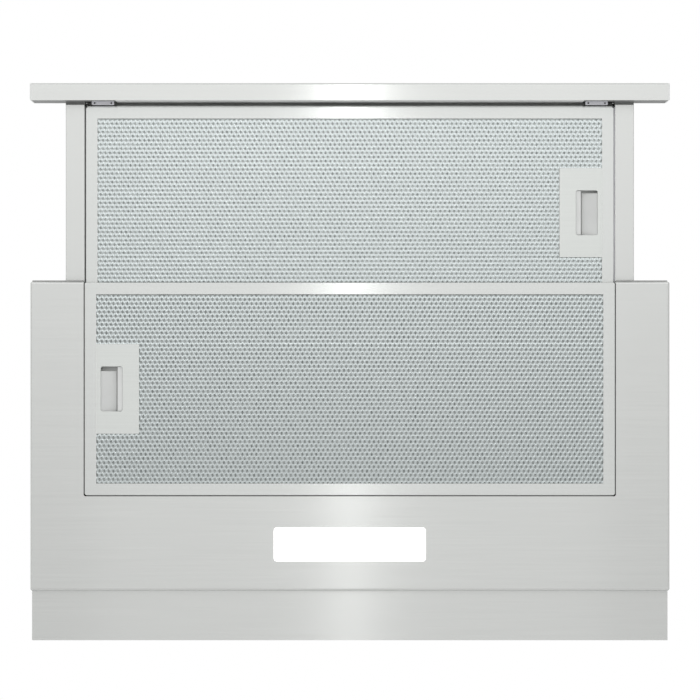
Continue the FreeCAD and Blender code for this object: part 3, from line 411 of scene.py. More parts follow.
def slab(x, y, z, radius, chamfer):
    """Plate with rounded corners and broken edges, between two heights."""
    loops = []
    for inset, height in ((chamfer, z[0]), (0.0, z[0] + chamfer), (0.0, z[1] - chamfer), (chamfer, z[1])):
        outline = rounded(x[0] + inset, x[1] - inset, y[0] + inset, y[1] - inset, radius - inset)
        loops.append([(a, b, height) for a, b in outline])
    sketch = Sketch()
    sketch.skin(loops)
    return sketch


# Screws, beads and spot welds. Profiles are pairs of radius and height, or shares of these.

SCREW_RADIUS = 3.4
SCREW_SHANK = 3.0
SCREW_SIDES = 12
SCREW_TURN = math.radians(-15)
STEM_SHARE = 0.45
HEAD_SUNK = 0.1
HEAD_PROFILE = ((1.0, 0.35), (0.86, 0.8), (0.64, 1.0))
CROSS_ARM = 0.56
CROSS_HALF = 0.13
CROSS_TAPER = 0.8
CROSS_FLOOR = 0.3

BEAD_SUNK = 0.3
BEAD_EDGE = 0.05
BEAD_PROFILE = ((0.86, 0.4), (0.62, 0.85), (0.3, 1.0))

WELD_SIDES = 14
WELD_PROFILE = ((2.6, -0.1), (2.4, 0.14), (1.8, 0.14), (1.3, 0.03))


def screw_head(sketch, surface, centre, height):
    """Pan-head screw with a cross recess."""

    def ring(share):
        return circle(share * SCREW_RADIUS, SCREW_SIDES, SCREW_TURN)

    arm, half = CROSS_ARM * SCREW_RADIUS, CROSS_HALF * SCREW_RADIUS
    cross = []
    for quarter in range(4):
        turn = quarter * math.pi / 2
        for a, b in ((arm, -half), (arm, half), (half, half)):
            cross.append((a * math.cos(turn) - b * math.sin(turn), a * math.sin(turn) + b * math.cos(turn)))
    steps = [(ring(STEM_SHARE), -SCREW_SHANK), (ring(STEM_SHARE), -HEAD_SUNK), (ring(1.0), -HEAD_SUNK)]
    steps += [(ring(share), rise * height) for share, rise in HEAD_PROFILE]
    steps.append((cross, height))
    steps.append(([(CROSS_TAPER * a, CROSS_TAPER * b) for a, b in cross], CROSS_FLOOR * height))
    sketch.stack(surface, centre, steps)


def bead(sketch, surface, centre, length, width, height, upright=False):
    """Stiffening bead pressed out of a sheet."""
    profile = [(1.0, -BEAD_SUNK), (1.0, BEAD_EDGE)]
    profile += [(share, rise * height) for share, rise in BEAD_PROFILE]
    steps = []
    for share, rise in profile:
        outline = capsule(length, share * width / 2)
        if upright:
            outline = [(-b, a) for a, b in outline]
        steps.append((outline, rise))
    sketch.stack(surface, centre, steps)


def spot_weld(sketch, surface, centre):
    """Shallow ringed dimple left by a welding electrode."""
    sketch.stack(surface, centre, [(circle(radius, WELD_SIDES), rise) for radius, rise in WELD_PROFILE])


# Expanded metal. Holes are measured in shares of their pitch.

PITCH_X = 4.313
PITCH_Y = 3.915
HOLE_X = 0.45
HOLE_ROUNDNESS = 0.5
CELL_POINTS = 16
STRAND_LEAN = 0.32
# Knuckles sit midway between the strands' painted highlight and painted shade.
KNUCKLE_PAINTED_TONE = 0.5
FRAME_BAR = 11.0
# The sheet stops short of the frame's front bar, so the core's dark colour shows there as a painted shadow
# line.
FRONT_SHADOW_GAP = 0.9
MERGE_REACH = 0.01


def diamond():
    """Points round a unit diamond, with how far each one is from the knuckles at its corners."""
    corners = [(1, 0), (0, 1), (-1, 0), (0, -1), (1, 0)]
    points = []
    for k in range(CELL_POINTS):
        quarter, share = divmod(4 * k / CELL_POINTS, 1)
        (a, b), (c, d) = corners[int(quarter)], corners[int(quarter) + 1]
        u, v = a + (c - a) * share, b + (d - b) * share
        points.append((u, v, math.sin(math.pi * abs(v))))
    return points


def sheet_cells(low, high, highlight_slant, hole_y):
    """Points, faces and painted tones of staggered diamonds, each with a hole between its leaning strands.

    The highlight slant is how far apart the painted highlight and painted shade of the two diagonals of
    strands lie.
    """
    middle = (low.z + high.z) / 2
    outline = diamond()
    # One diagonal of strands gets a painted highlight, the other a painted shade.
    painted_tones = [KNUCKLE_PAINTED_TONE - math.copysign(KNUCKLE_PAINTED_TONE * highlight_slant * strand, u * v) for u, v, strand in outline]
    points, faces, painted_point_tones = [], [], []
    for row in range(int((high.y - low.y) / PITCH_Y) + 2):
        for column in range(int((high.x - low.x) / PITCH_X) + 2):
            x = low.x + (column + 0.5 * (row % 2)) * PITCH_X
            y = low.y + row * PITCH_Y
            start = len(points)
            for u, v, _ in outline:
                points.append((x + u * PITCH_X / 2, y + v * PITCH_Y, middle))
            for u, v, strand in outline:
                reach = 1 - HOLE_ROUNDNESS + HOLE_ROUNDNESS / math.hypot(u, v)
                inner_x = x + reach * HOLE_X * u * PITCH_X / 2
                inner_y = y + reach * hole_y * v * PITCH_Y
                points.append((inner_x, inner_y, middle + math.copysign(STRAND_LEAN * strand, v)))
            painted_point_tones += painted_tones * 2
            inner = start + CELL_POINTS
            for k in range(CELL_POINTS):
                n = (k + 1) % CELL_POINTS
                faces.append((start + k, start + n, inner + n, inner + k))
    return points, faces, painted_point_tones


def trim_sheet(sheet, low, high, hole_low, hole_high):
    """Cut a sheet to its edges, and a rectangular hole into it."""
    cuts = ((low, -1, True), (high, 1, True), (hole_low, -1, False), (hole_high, 1, False))
    for corner, side, clear in cuts:
        place = corner * MM
        for axis in (Vector((side, 0, 0)), Vector((0, side, 0))):
            geometry = sheet.verts[:] + sheet.edges[:] + sheet.faces[:]
            bmesh.ops.bisect_plane(sheet, geom=geometry, plane_co=place, plane_no=axis, clear_outer=clear)
    inside = []
    for face in sheet.faces:
        x, y, _ = face.calc_center_median() / MM
        if hole_low.x < x < hole_high.x and hole_low.y < y < hole_high.y:
            inside.append(face)
    bmesh.ops.delete(sheet, geom=inside, context="FACES")


def expanded_sheet(holder, body, highlight_slant, hole_y):
    """Expanded metal in place of a filter's plain mesh sheet, open round its latch."""
    node = f"{holder}_filter_mesh"
    low, high = box_mm(node)
    low.y = box_mm(f"{holder}_filter_frame")[0].y + FRAME_BAR + FRONT_SHADOW_GAP
    points, faces, painted_tones = sheet_cells(low, high, highlight_slant, hole_y)
    mesh = bpy.data.meshes.new(f"{holder}_expanded_mesh")
    mesh.from_pydata([Vector(point) * MM for point in points], [], faces)
    # The strand attribute carries the strands' painted highlight and painted shade.
    mesh.attributes.new("strand", "FLOAT", "POINT").data.foreach_set("value", painted_tones)
    sheet = bmesh.new()
    sheet.from_mesh(mesh)
    bmesh.ops.remove_doubles(sheet, verts=sheet.verts, dist=MERGE_REACH * MM)
    trim_sheet(sheet, low, high, *box_mm(f"{holder}_latch_plate"))
    sheet.to_mesh(mesh)
    sheet.free()
    mesh.shade_smooth()
    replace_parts(place_mesh(mesh, "filter_mesh", body), node)


def build_meshes():
    """The expanded sheets of both filters."""
    expanded_sheet("main", "hood_body", highlight_slant=0.2, hole_y=0.48)
    expanded_sheet("drawer", "drawer", highlight_slant=0.4, hole_y=0.41)


# Latches: name, body that holds the plate, way from the filter's edge inwards, and gap in front of the ramp,
# where the dark well shows as a painted shadow

LATCHES = (("main", "hood_body", 1, 4.2), ("drawer", "drawer", -1, 2.5))

SLOT_INSET = 4.0
SLOT_WIDTH = 20.4
SLOT_LENGTH = 42.0
GRIP_WIDTH = 4.7
GRIP_GAP = 1.15
FLOOR_DEPTH = 5.5
UNDER_PLATE = 1.2
WELL_GAP = 0.4
WELL_BELOW = 0.3
WELL_ABOVE = 0.1
RAMP_TOP = 1.25
RAMP_FLAT = 1.0
RAMP_FOOT = 4.4
RAMP_TOE = 0.5
RAMP_TOE_RISE = 0.3
RAMP_BEVEL = 0.4
PLATE_LIP_OUT = 0.6
PLATE_LIP_IN = 1.0
PLATE_LIP_PROUD = 0.08
PLATE_LIP_DEEP = 0.3


def latch_floor(name, holder, inward, front_gap):
    """Dark well and finger ramp on the bolt's floor, their colours painted shade, and the plate's side lip.

    The well's dark colour shows in gaps at the ramp's front and beside the grip, as a painted shadow there.
    """
    body = f"{name}_latch"
    low, high = box_mm(f"{name}_latch_plate")
    outside = low.x if inward > 0 else high.x
    edge = outside + inward * SLOT_INSET
    grip = edge + inward * (SLOT_WIDTH - GRIP_WIDTH)
    middle = (low.y + high.y) / 2
    front, rear = middle - SLOT_LENGTH / 2, middle + SLOT_LENGTH / 2
    floor = low.z + FLOOR_DEPTH

    well_x = sorted((edge + inward * WELL_GAP, grip))
    well_y = (front + WELL_GAP, rear - WELL_GAP)
    well = slab(well_x, well_y, (floor - WELL_BELOW, floor + WELL_ABOVE), radius=1.5, chamfer=0.1)
    # The liner's dark colour is a painted shadow in the recess.
    well.piece(f"{name}_latch_liner", "grey_plastic", body, "latch_well")

    start, end = edge - inward * UNDER_PLATE, grip - inward * GRIP_GAP
    section = [
        (start, floor),
        (start, low.z + RAMP_TOP),
        (edge + inward * RAMP_FLAT, low.z + RAMP_TOP),
        (end - inward * RAMP_TOE, low.z + RAMP_FOOT),
        (end, low.z + RAMP_FOOT + RAMP_TOE_RISE),
        (end, floor),
    ]
    nose = front + front_gap
    ends = [(nose, RAMP_BEVEL), (nose + RAMP_BEVEL, 0.0), (rear + UNDER_PLATE, 0.0)]
    ramp = Sketch()
    ramp.skin([[(x, y, min(z + drop, floor)) for x, z in section] for y, drop in ends])
    # The ramp takes a darker copy of the bolt's plastic, as painted shade on its tilted face.
    ramp.piece(f"{name}_latch_ramp", "latch_bolt", body, "latch_ramp")

    lip_x = sorted((outside - inward * PLATE_LIP_OUT, outside + inward * PLATE_LIP_IN))
    lip_z = (low.z - PLATE_LIP_PROUD, low.z + PLATE_LIP_DEEP)
    lip = slab(lip_x, (low.y, high.y), lip_z, radius=0.5, chamfer=0.06)
    lip.piece(f"{name}_latch_lip", "latch_grey", holder)


def build_latches():
    """The wells, ramps and lips of both latches."""
    for name, holder, inward, front_gap in LATCHES:
        latch_floor(name, holder, inward, front_gap)


LEAF_THICK = 0.55
LEAF_STEPS = 20
LEAF_BEND = 0.2
LEAF_FOOT = 0.9


def leaf_rise(share):
    """Share of a bent leaf's height, at a share of the way from its apex to its end."""
    slope = math.hypot(min(share, LEAF_FOOT), LEAF_BEND) - LEAF_BEND
    return 1 - slope / (math.hypot(LEAF_FOOT, LEAF_BEND) - LEAF_BEND)


def build_springs():
    """Bent leaf springs behind the bolts, pressed together as the bolts slide back."""
    for name, holder, inward, _ in LATCHES:
        node = f"{name}_latch_spring"
        low, high = box_mm(node)
        foot, apex = (low.x, high.x) if inward > 0 else (high.x, low.x)
        _, middle_y, middle_z = middle_of(low, high)
        half = (high.y - low.y) / 2
        reach = high.x - low.x - LEAF_THICK
        line = []
        for k in range(-LEAF_STEPS, LEAF_STEPS + 1):
            share = k / LEAF_STEPS
            height = LEAF_THICK / 2 + reach * leaf_rise(abs(share))
            line.append(Vector((foot + inward * height, middle_y + share * half)))
        loops = []
        for k, point in enumerate(line):
            along = (line[min(k + 1, len(line) - 1)] - line[max(k - 1, 0)]).normalized()
            across = Vector((-along.y, along.x)) * LEAF_THICK / 2
            inner, outer = point - across, point + across
            loops.append([(*inner, low.z), (*outer, low.z), (*outer, high.z), (*inner, high.z)])
        leaf = Sketch()
        leaf.skin(loops)
        piece = leaf.piece(f"{name}_latch_leaf", "fastener", holder)
        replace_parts(piece, node)
        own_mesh(piece)


# Seals, and the trim's back

FRONT_SEAL_HALF = 247.5
FRONT_SEAL_GAP = 0.4
FRONT_SEAL_LAP = 2.0
ROOF_GAP = 0.05
REAR_SEAL_HALF = 246.0
REAR_SEAL_Y = (0.15, 0.75)
REAR_SEAL_UP = 1.2
SIDE_SEAL_X = (248.15, 248.85)
SIDE_SEAL_SHORT = 1.0
SIDE_SEAL_UP = 1.5
FOAM_UP = 3.0
EDGE_STRIP_UP = 0.8


def side_strip(name, side, y, z, slot, body):
    """Narrow strip upright beside a filter."""
    strip = slab(sorted(side * x for x in SIDE_SEAL_X), y, z, radius=0.3, chamfer=0.1)
    strip.piece(name, slot, body)


def build_seals():
    """Foam and edge strips between the filters and what holds them, in greys that paint the shade in the
    gaps; the drawer's right strip is paler than its left, as painted light from one side.
    """
    low, high = box_mm("drawer_filter_frame")
    front_y = (box_mm("trim_back_cover")[1].y + FRONT_SEAL_GAP, low.y + FRONT_SEAL_LAP)
    front_z = (high.z + FRONT_SEAL_GAP, box_mm("drawer_top")[0].z - ROOF_GAP)
    front = slab((-FRONT_SEAL_HALF, FRONT_SEAL_HALF), front_y, front_z, radius=1.0, chamfer=0.4)
    front.piece("drawer_front_seal", "buffer_foam", "drawer")
    side_y, top = (low.y, high.y), high.z + FOAM_UP
    side_strip("drawer_left_seal", -1, side_y, (low.z + FOAM_UP, top), "buffer_foam", "drawer")
    # The right strip's pale plastic is painted light, the left's darker foam painted shade.
    side_strip("drawer_right_seal", 1, side_y, (low.z + EDGE_STRIP_UP, top), "clip_plastic", "drawer")
    low, high = box_mm("main_filter_frame")
    side_y = (low.y + SIDE_SEAL_SHORT, high.y - SIDE_SEAL_SHORT)
    # The main filter's grey side and rear strips paint the shade lines in its gaps.
    for name, side in (("main_left_seal", -1), ("main_right_seal", 1)):
        side_strip(name, side, side_y, (low.z + SIDE_SEAL_UP, high.z), "grey_plastic", "hood_body")
    rear_y = [high.y + gap for gap in REAR_SEAL_Y]
    rear_z = (low.z + REAR_SEAL_UP, high.z)
    rear = slab((-REAR_SEAL_HALF, REAR_SEAL_HALF), rear_y, rear_z, radius=0.25, chamfer=0.1)
    rear.piece("main_rear_seal", "grey_plastic", "hood_body")


TRIM_LINER_HALF = 219.0
TRIM_LINER_Y = (-0.2, 0.5)
TRIM_LINER_Z = (1.0, 27.0)
NOSE_HALF = 246.5
NOSE_RADIUS = 1.3
NOSE_STEPS = 8
NOSE_LAP = 0.6
NOSE_UP = 0.1
NOSE_SHORT = 1.0


def build_trim_back():
    """Pale liner on the trim's back between its clips, as painted light on that face, and the rounded nose of
    the drawer's filter.
    """
    back = box_mm("trim_back_cover")[1].y
    bottom = box_mm("front_trim")[0].z
    liner_y = [back + step for step in TRIM_LINER_Y]
    liner_z = [bottom + step for step in TRIM_LINER_Z]
    liner = slab((-TRIM_LINER_HALF, TRIM_LINER_HALF), liner_y, liner_z, radius=0.3, chamfer=0.15)
    # The liner's pale grey is painted light on the trim's back.
    liner.piece("trim_back_liner", "cap_grey", "drawer")
    low, high = box_mm("drawer_filter_frame")
    bottom, top = low.z + NOSE_UP, high.z - NOSE_SHORT
    section = [(low.y + NOSE_LAP, top), (low.y + NOSE_LAP, bottom)]
    for k in range(NOSE_STEPS + 1):
        turn = math.pi / 2 * k / NOSE_STEPS
        section.append((low.y - NOSE_RADIUS * math.sin(turn), bottom + NOSE_RADIUS * (1 - math.cos(turn))))
    section.append((low.y - NOSE_RADIUS, top))
    nose = Sketch()
    nose.skin([[(x, a, b) for a, b in section] for x in (-NOSE_HALF, NOSE_HALF)])
    nose.piece("drawer_filter_nose", "filter_alu", "drawer")


# Sheet metal details of the housing and the drawer's cover

SHEET_THICK = 0.9
SHEET_SUNK = 0.3
LIP_TOP = 12.0
LIP_DROP = 14.0
LIP_BEND_LOW = 0.6
LIP_BEND = (0.65, 0.55)
LIP_CORNER = 1.5
LIP_INNER_CORNER = 1.0
WELD_SPACING = 75.0


def housing_box():
    """The lowest and highest corners of the housing above the top plate."""
    low = Vector((box_mm("housing_left")[0].x, box_mm("housing_front")[0].y, 0.0))
    high = Vector((box_mm("housing_right")[1].x, box_mm("housing_rear")[1].y, box_mm("housing_top")[1].z))
    return low, high


def housing_sides():
    """The four upright sides as surfaces with their half lengths; the second coordinate is the height."""
    low, high = housing_box()
    middle_x, middle_y, _ = middle_of(low, high)
    wide, deep = (high.x - low.x) / 2, (high.y - low.y) / 2
    return {
        "front": (plane((middle_x, low.y, 0), (1, 0, 0), (0, 0, 1)), wide),
        "rear": (plane((middle_x, high.y, 0), (-1, 0, 0), (0, 0, 1)), wide),
        "left": (plane((low.x, middle_y, 0), (0, -1, 0), (0, 0, 1)), deep),
        "right": (plane((high.x, middle_y, 0), (0, 1, 0), (0, 0, 1)), deep),
    }


def build_housing_lip():
    """Turned-down edge of the housing's lid, with its spot welds."""
    low, high = housing_box()
    section = [
        (SHEET_THICK, -LIP_DROP),
        (SHEET_THICK, -LIP_BEND_LOW),
        (LIP_BEND[0] * SHEET_THICK, LIP_BEND[1]),
        (-SHEET_SUNK, SHEET_THICK),
        (-LIP_TOP, SHEET_THICK),
        (-LIP_TOP, -SHEET_SUNK),
        (-SHEET_SUNK, -SHEET_SUNK),
        (-SHEET_SUNK, -LIP_DROP),
    ]
    loops = []
    for out, rise in section:
        corner = max(LIP_CORNER + out, LIP_INNER_CORNER)
        outline = rounded(low.x - out, high.x + out, low.y - out, high.y + out, corner)
        loops.append([(a, b, high.z + rise) for a, b in outline])
    lip = Sketch()
    lip.skin(loops, closed=True)
    lip.piece("housing_lid_lip", "zinc", "hood_body")
    welds = Sketch()
    for surface, half in housing_sides().values():
        count = int(2 * half / WELD_SPACING)
        for k in range(count):
            along = (k - (count - 1) / 2) * 2 * half / count
            spot_weld(welds, raised(surface, SHEET_THICK), (along, high.z - LIP_DROP / 2))
    welds.piece("housing_spot_welds", "zinc", "hood_body")


FOOT_WIDTH = 13.0
FOOT_RISE = 10.0
FOOT_SUNK = 0.2
FOOT_BEND = 0.7
SIDE_FOOT_SHORT = 1.0
FRONT_FOOT_SHORT = 14.0
FOOT_SCREW_OUT = 0.55 * FOOT_WIDTH
FOOT_SCREW_HEIGHT = 1.9
SIDE_SCREWS_Y = (-85.0, -15.0, 55.0, 125.0)
FRONT_SCREWS_X = (-220.0, -75.0, 75.0, 220.0)


def build_housing_foot():
    """Angle strips that hold the housing down on the top plate, with their screws."""
    low, high = housing_box()
    section = [
        (-SHEET_SUNK, -FOOT_SUNK),
        (FOOT_WIDTH, -FOOT_SUNK),
        (FOOT_WIDTH, SHEET_THICK),
        (SHEET_THICK + FOOT_BEND, SHEET_THICK),
        (SHEET_THICK, SHEET_THICK + FOOT_BEND),
        (SHEET_THICK, FOOT_RISE),
        (-SHEET_SUNK, FOOT_RISE),
    ]
    feet = Sketch()
    side_ends = (low.y + SIDE_FOOT_SHORT, high.y - SIDE_FOOT_SHORT)
    for x, out in ((low.x, -1), (high.x, 1)):
        feet.skin([[(x + out * a, y, b) for a, b in section] for y in side_ends])
    front_ends = (low.x + FRONT_FOOT_SHORT, high.x - FRONT_FOOT_SHORT)
    feet.skin([[(x, low.y - a, b) for a, b in section] for x in front_ends])
    feet.piece("housing_feet", "zinc", "hood_body")
    ground = level(SHEET_THICK)
    screws = Sketch()
    for x in (low.x - FOOT_SCREW_OUT, high.x + FOOT_SCREW_OUT):
        for y in SIDE_SCREWS_Y:
            screw_head(screws, ground, (x, y), FOOT_SCREW_HEIGHT)
    for x in FRONT_SCREWS_X:
        screw_head(screws, ground, (x, low.y - FOOT_SCREW_OUT), FOOT_SCREW_HEIGHT)
    screws.piece("housing_screws", "fastener", "hood_body")


PANEL_BEAD = {"width": 15.0, "height": 1.8}
LONG_BEADS_Z = (42.0, 86.0)
LONG_BEAD_SHARE = 1.5
SIDE_BEADS = (-0.5, 0.0, 0.5)
SIDE_BEAD_Z = 64.0
SIDE_BEAD_LENGTH = 58.0
TOP_BEADS_X = (-205.0, -150.0, -95.0, 95.0, 150.0)
TOP_BEAD_Y = 16.0
TOP_BEAD_LENGTH = 150.0
COVER_BEAD = {"width": 16.0, "height": 1.0}
COVER_BEADS_X = (-190.0, -95.0, 0.0, 95.0, 190.0)
COVER_BEAD_LENGTH = 120.0
COVER_WELD_INSET = 7.0
COVER_WELDS_Y = (-80.0, -40.0, 0.0, 40.0, 80.0)


def build_beads():
    """Stiffening beads in the housing's panels, and beads and spot welds on the drawer's cover."""
    sides = housing_sides()
    panels = Sketch()
    for side in ("front", "rear"):
        surface, half = sides[side]
        for z in LONG_BEADS_Z:
            bead(panels, surface, (0, z), LONG_BEAD_SHARE * half, **PANEL_BEAD)
    for side in ("left", "right"):
        surface, half = sides[side]
        for share in SIDE_BEADS:
            bead(panels, surface, (share * half, SIDE_BEAD_Z), SIDE_BEAD_LENGTH, **PANEL_BEAD, upright=True)
    top = level(housing_box()[1].z)
    for x in TOP_BEADS_X:
        bead(panels, top, (x, TOP_BEAD_Y), TOP_BEAD_LENGTH, **PANEL_BEAD, upright=True)
    panels.piece("housing_beads", "zinc", "hood_body")
    low, high = box_mm("drawer_top")
    lid = plane((0, (low.y + high.y) / 2, high.z), (1, 0, 0), (0, 1, 0))
    cover = Sketch()
    for x in COVER_BEADS_X:
        bead(cover, lid, (x, 0.0), COVER_BEAD_LENGTH, **COVER_BEAD, upright=True)
    for x in (low.x + COVER_WELD_INSET, high.x - COVER_WELD_INSET):
        for y in COVER_WELDS_Y:
            spot_weld(cover, lid, (x, y))
    cover.piece("drawer_cover_beads", "zinc", "drawer")


# Collar, gland and buttons

RIM_SIDES = 72
RIM_PROFILE = ((-0.3, -0.3), (-0.3, 0.5), (-0.8, 1.0), (-2.2, 1.0), (-2.7, 0.5), (-2.7, -0.3))
BOSS_SIDES = 20
BOSS_PROFILE = ((2.0, -0.3), (2.0, 0.25), (1.4, 0.5))
COLLAR_SCREW_HEIGHT = 2.2


def build_collar():
    """Raised rim and screw bosses on the collar's flange, and its screws with cross recesses."""
    low, high = box_mm("outlet_collar")
    centre = middle_of(low, high)[:2]
    radius = (high.x - low.x) / 2
    heads_low, heads_high = box_mm("collar_screws")
    flange = level(heads_high.z - COLLAR_SCREW_HEIGHT)
    rim = Sketch()
    rings = [(circle(radius + out, RIM_SIDES), rise) for out, rise in RIM_PROFILE]
    rim.stack(flange, centre, rings, closed=True)
    boss = [(circle(SCREW_RADIUS + out, BOSS_SIDES), rise) for out, rise in BOSS_PROFILE]
    screws = Sketch()
    for x in (heads_low.x + SCREW_RADIUS, heads_high.x - SCREW_RADIUS):
        for y in (heads_low.y + SCREW_RADIUS, heads_high.y - SCREW_RADIUS):
            screw_head(screws, flange, (x, y), COLLAR_SCREW_HEIGHT)
            rim.stack(flange, (x, y), boss)
    rim.piece("collar_rim", "black_plastic", "hood_body")
    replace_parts(screws.piece("collar_screw_heads", "fastener", "hood_body"), "collar_screws")


GLAND_SIDES = 96
GLAND_RIBS = 16
RIB_RISE = 0.22


def build_gland():
    """Cable gland: thread and nut inside the housing, hexagon and ribbed cap outside, and its bore."""
    low, high = box_mm("cable_gland")
    turns = [2 * math.pi * k / GLAND_SIDES for k in range(GLAND_SIDES)]

    def plain(radius):
        return [radius for turn in turns]

    def hexagon(radius):
        flat = radius * math.cos(math.pi / 6)
        return [flat / math.cos(turn % (math.pi / 3) - math.pi / 6) for turn in turns]

    def ribbed(radius):
        return [radius + RIB_RISE * math.cos(GLAND_RIBS * turn) for turn in turns]

    inside = [
        (plain(4.0), 0.0),
        (plain(7.6), 0.0),
        (plain(8.0), 0.4),
        (plain(8.0), 2.0),
        (hexagon(10.6), 2.0),
        (hexagon(11.0), 2.4),
        (hexagon(11.0), 7.0),
        (plain(8.0), 7.0),
    ]
    outside = [
        (plain(8.0), 8.0),
        (hexagon(11.6), 8.0),
        (hexagon(12.0), 8.4),
        (hexagon(12.0), 12.4),
        (hexagon(11.4), 13.0),
        (plain(8.3), 13.0),
        (plain(8.3), 14.0),
        (ribbed(8.7), 14.0),
        (ribbed(8.7), 19.4),
        (plain(8.3), 20.5),
        (plain(7.4), 21.0),
        (plain(5.2), 21.0),
        (plain(4.4), 20.7),
        (plain(4.0), 20.0),
    ]
    steps = []
    for radii, height in inside + outside:
        steps.append(([(r * math.cos(turn), r * math.sin(turn)) for r, turn in zip(radii, turns)], height))
    gland = Sketch()
    gland.stack(level(low.z), middle_of(low, high)[:2], steps, closed=True)
    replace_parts(gland.piece("cable_gland_body", "black_plastic", "hood_body"), "cable_gland")


# Button marks: the places of each speed's dots along X, and none for the lamp, which has a ring

DOTS = {
    "button_low": (0.0,),
    "button_medium": (-1.1, 1.1),
    "button_high": (-2.0, 0.0, 2.0),
    "button_light": (),
}
DOT_SIDES = 16
DOT_PROFILE = ((0.62, -0.1), (0.62, 0.12), (0.45, 0.2))
RING_SIDES = 32
RING_PROFILE = ((2.4, -0.1), (2.4, 0.12), (2.2, 0.2), (1.9, 0.2), (1.7, 0.12), (1.7, -0.1))


def build_button_marks():
    """Dots for the three speeds and a ring for the lamp, raised on the buttons' faces."""
    dot = [(circle(radius, DOT_SIDES), rise) for radius, rise in DOT_PROFILE]
    ring = [(circle(radius, RING_SIDES), rise) for radius, rise in RING_PROFILE]
    for button, places in DOTS.items():
        low, high = box_mm(button)
        middle_x, _, middle_z = middle_of(low, high)
        face = plane((middle_x, low.y, middle_z), (1, 0, 0), (0, 0, 1))
        mark = Sketch()
        for x in places:
            mark.stack(face, (x, 0.0), dot)
        if not places:
            mark.stack(face, (0.0, 0.0), ring, closed=True)
        mark.piece(f"{button}_mark", "black_plastic", button)


# Stage, lights and camera, in metres

FLOOR_SIZE = 14
FLOOR_Z = -5.2
SKY_BELOW = 0.90
HORIZON = (0.0, 0.1)
SOFT_BOX = Vector((-0.45, -0.5, 0.74))
SOFT_BOX_FACING = (0.0, 0.8)
SOFT_BOX_STRENGTH = (0.42, 1.22)

# Name, place, size and power of the lights below the hood. The filters' strands mirror the side keys.
STUDIO_LIGHTS = (
    ("front_key", (0, -1.6, -3.4), (1.5, 2.6), 6.42),
    ("key_left", (-1.625, -1.875, -3.4), (1.75, 2.05), 10.5),
    ("key_right", (1.625, -1.875, -3.4), (1.75, 2.05), 10.5),
    ("middle_fill", (0, 0.0, -3.4), (5.0, 0.6), 0.8),
    ("centre_strip", (0, -1.05, -3.5), (0.05, 1.3), 1.0),
    ("rear_strip", (0, 0.25, -3.5), (0.05, 1.3), 0.144),
    ("soft_strip", (0, 0.25, -3.5), (1.0, 1.3), 0.45),
)


def area_light(name, place, size, power):
    """Rectangular light that shines straight up, unseen by the camera."""
    data = bpy.data.lights.new(name, "AREA")
    data.shape = "RECTANGLE"
    data.size, data.size_y = size
    data.energy = power
    lamp = bpy.data.objects.new(name, data)
    lamp.location = place
    lamp.rotation_euler = (math.pi, 0, 0)
    lamp.visible_camera = False
    bpy.context.scene.collection.objects.link(lamp)


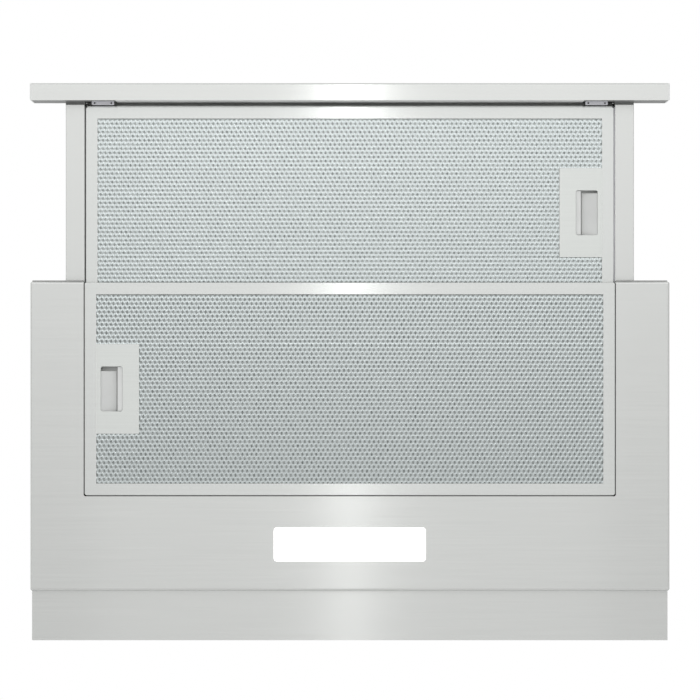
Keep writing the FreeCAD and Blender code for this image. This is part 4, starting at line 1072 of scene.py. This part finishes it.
def build_sky(scene):
    """White surroundings: even below the horizon, and brighter towards a soft box above it.

    The camera sees plain white.
    """
    world = bpy.data.worlds.new("studio")
    scene.world = world
    world.use_nodes = True
    nodes, links = world.node_tree.nodes, world.node_tree.links

    def ranged(source, from_range, to_range):
        node = nodes.new("ShaderNodeMapRange")
        node.inputs["From Min"].default_value, node.inputs["From Max"].default_value = from_range
        node.inputs["To Min"].default_value, node.inputs["To Max"].default_value = to_range
        links.new(source, node.inputs["Value"])
        return node.outputs["Result"]

    direction = nodes.new("ShaderNodeTexCoord").outputs["Generated"]
    facing = nodes.new("ShaderNodeVectorMath")
    facing.operation = "DOT_PRODUCT"
    facing.inputs[1].default_value = SOFT_BOX
    links.new(direction, facing.inputs[0])
    above = ranged(facing.outputs["Value"], SOFT_BOX_FACING, SOFT_BOX_STRENGTH)
    split = nodes.new("ShaderNodeSeparateXYZ")
    links.new(direction, split.inputs["Vector"])
    blend = nodes.new("ShaderNodeMix")
    blend.inputs["A"].default_value = SKY_BELOW
    links.new(ranged(split.outputs["Z"], HORIZON, (0.0, 1.0)), blend.inputs["Factor"])
    links.new(above, blend.inputs["B"])
    seen = nodes.new("ShaderNodeMix")
    seen.inputs["B"].default_value = 1.0
    links.new(nodes.new("ShaderNodeLightPath").outputs["Is Camera Ray"], seen.inputs["Factor"])
    links.new(blend.outputs["Result"], seen.inputs["A"])
    links.new(seen.outputs["Result"], nodes["Background"].inputs["Strength"])
    nodes["Background"].inputs["Color"].default_value = (1, 1, 1, 1)


def build_stage():
    """Pale floor far below, white surroundings, and the lights below the hood."""
    scene = bpy.context.scene
    scene.view_settings.view_transform = "Standard"
    bpy.ops.mesh.primitive_plane_add(size=FLOOR_SIZE, location=(0, 0, FLOOR_Z))
    floor = bpy.context.object
    floor.name = "floor"
    pale, shader = new_material("pale_floor")
    patches = grain(pale, 3.0)
    join(pale, tint(pale, patches, (0.78, 0.78, 0.78), (0.82, 0.82, 0.82)), shader.inputs["Base Color"])
    shader.inputs["Roughness"].default_value = 0.9
    floor.data.materials.append(pale)
    build_sky(scene)
    for name, place, size, power in STUDIO_LIGHTS:
        area_light(name, place, size, power)


CAMERA_X = 0.0002
CAMERA_Y = -0.0805
CAMERA_DROP = 3.2
VIEW_WIDTH = 0.6545
SENSOR_WIDTH = 36
CLIP_END = 50


def build_camera():
    """Straight up from below, with the hood's front at the top of the picture."""
    data = bpy.data.cameras.new("camera")
    camera = bpy.data.objects.new("camera", data)
    bpy.context.scene.collection.objects.link(camera)
    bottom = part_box("lower_casing")[0].z
    camera.location = (CAMERA_X, CAMERA_Y, bottom - CAMERA_DROP)
    camera.rotation_euler = (math.pi, 0, 0)
    data.sensor_width = SENSOR_WIDTH
    data.lens = SENSOR_WIDTH * CAMERA_DROP / VIEW_WIDTH
    data.clip_end = CLIP_END
    bpy.context.scene.camera = camera


build_camera()
dress_nodes()
build_meshes()
build_latches()
build_springs()
build_seals()
build_trim_back()
build_housing_lip()
build_housing_foot()
build_beads()
build_collar()
build_gland()
build_button_marks()
build_stage()
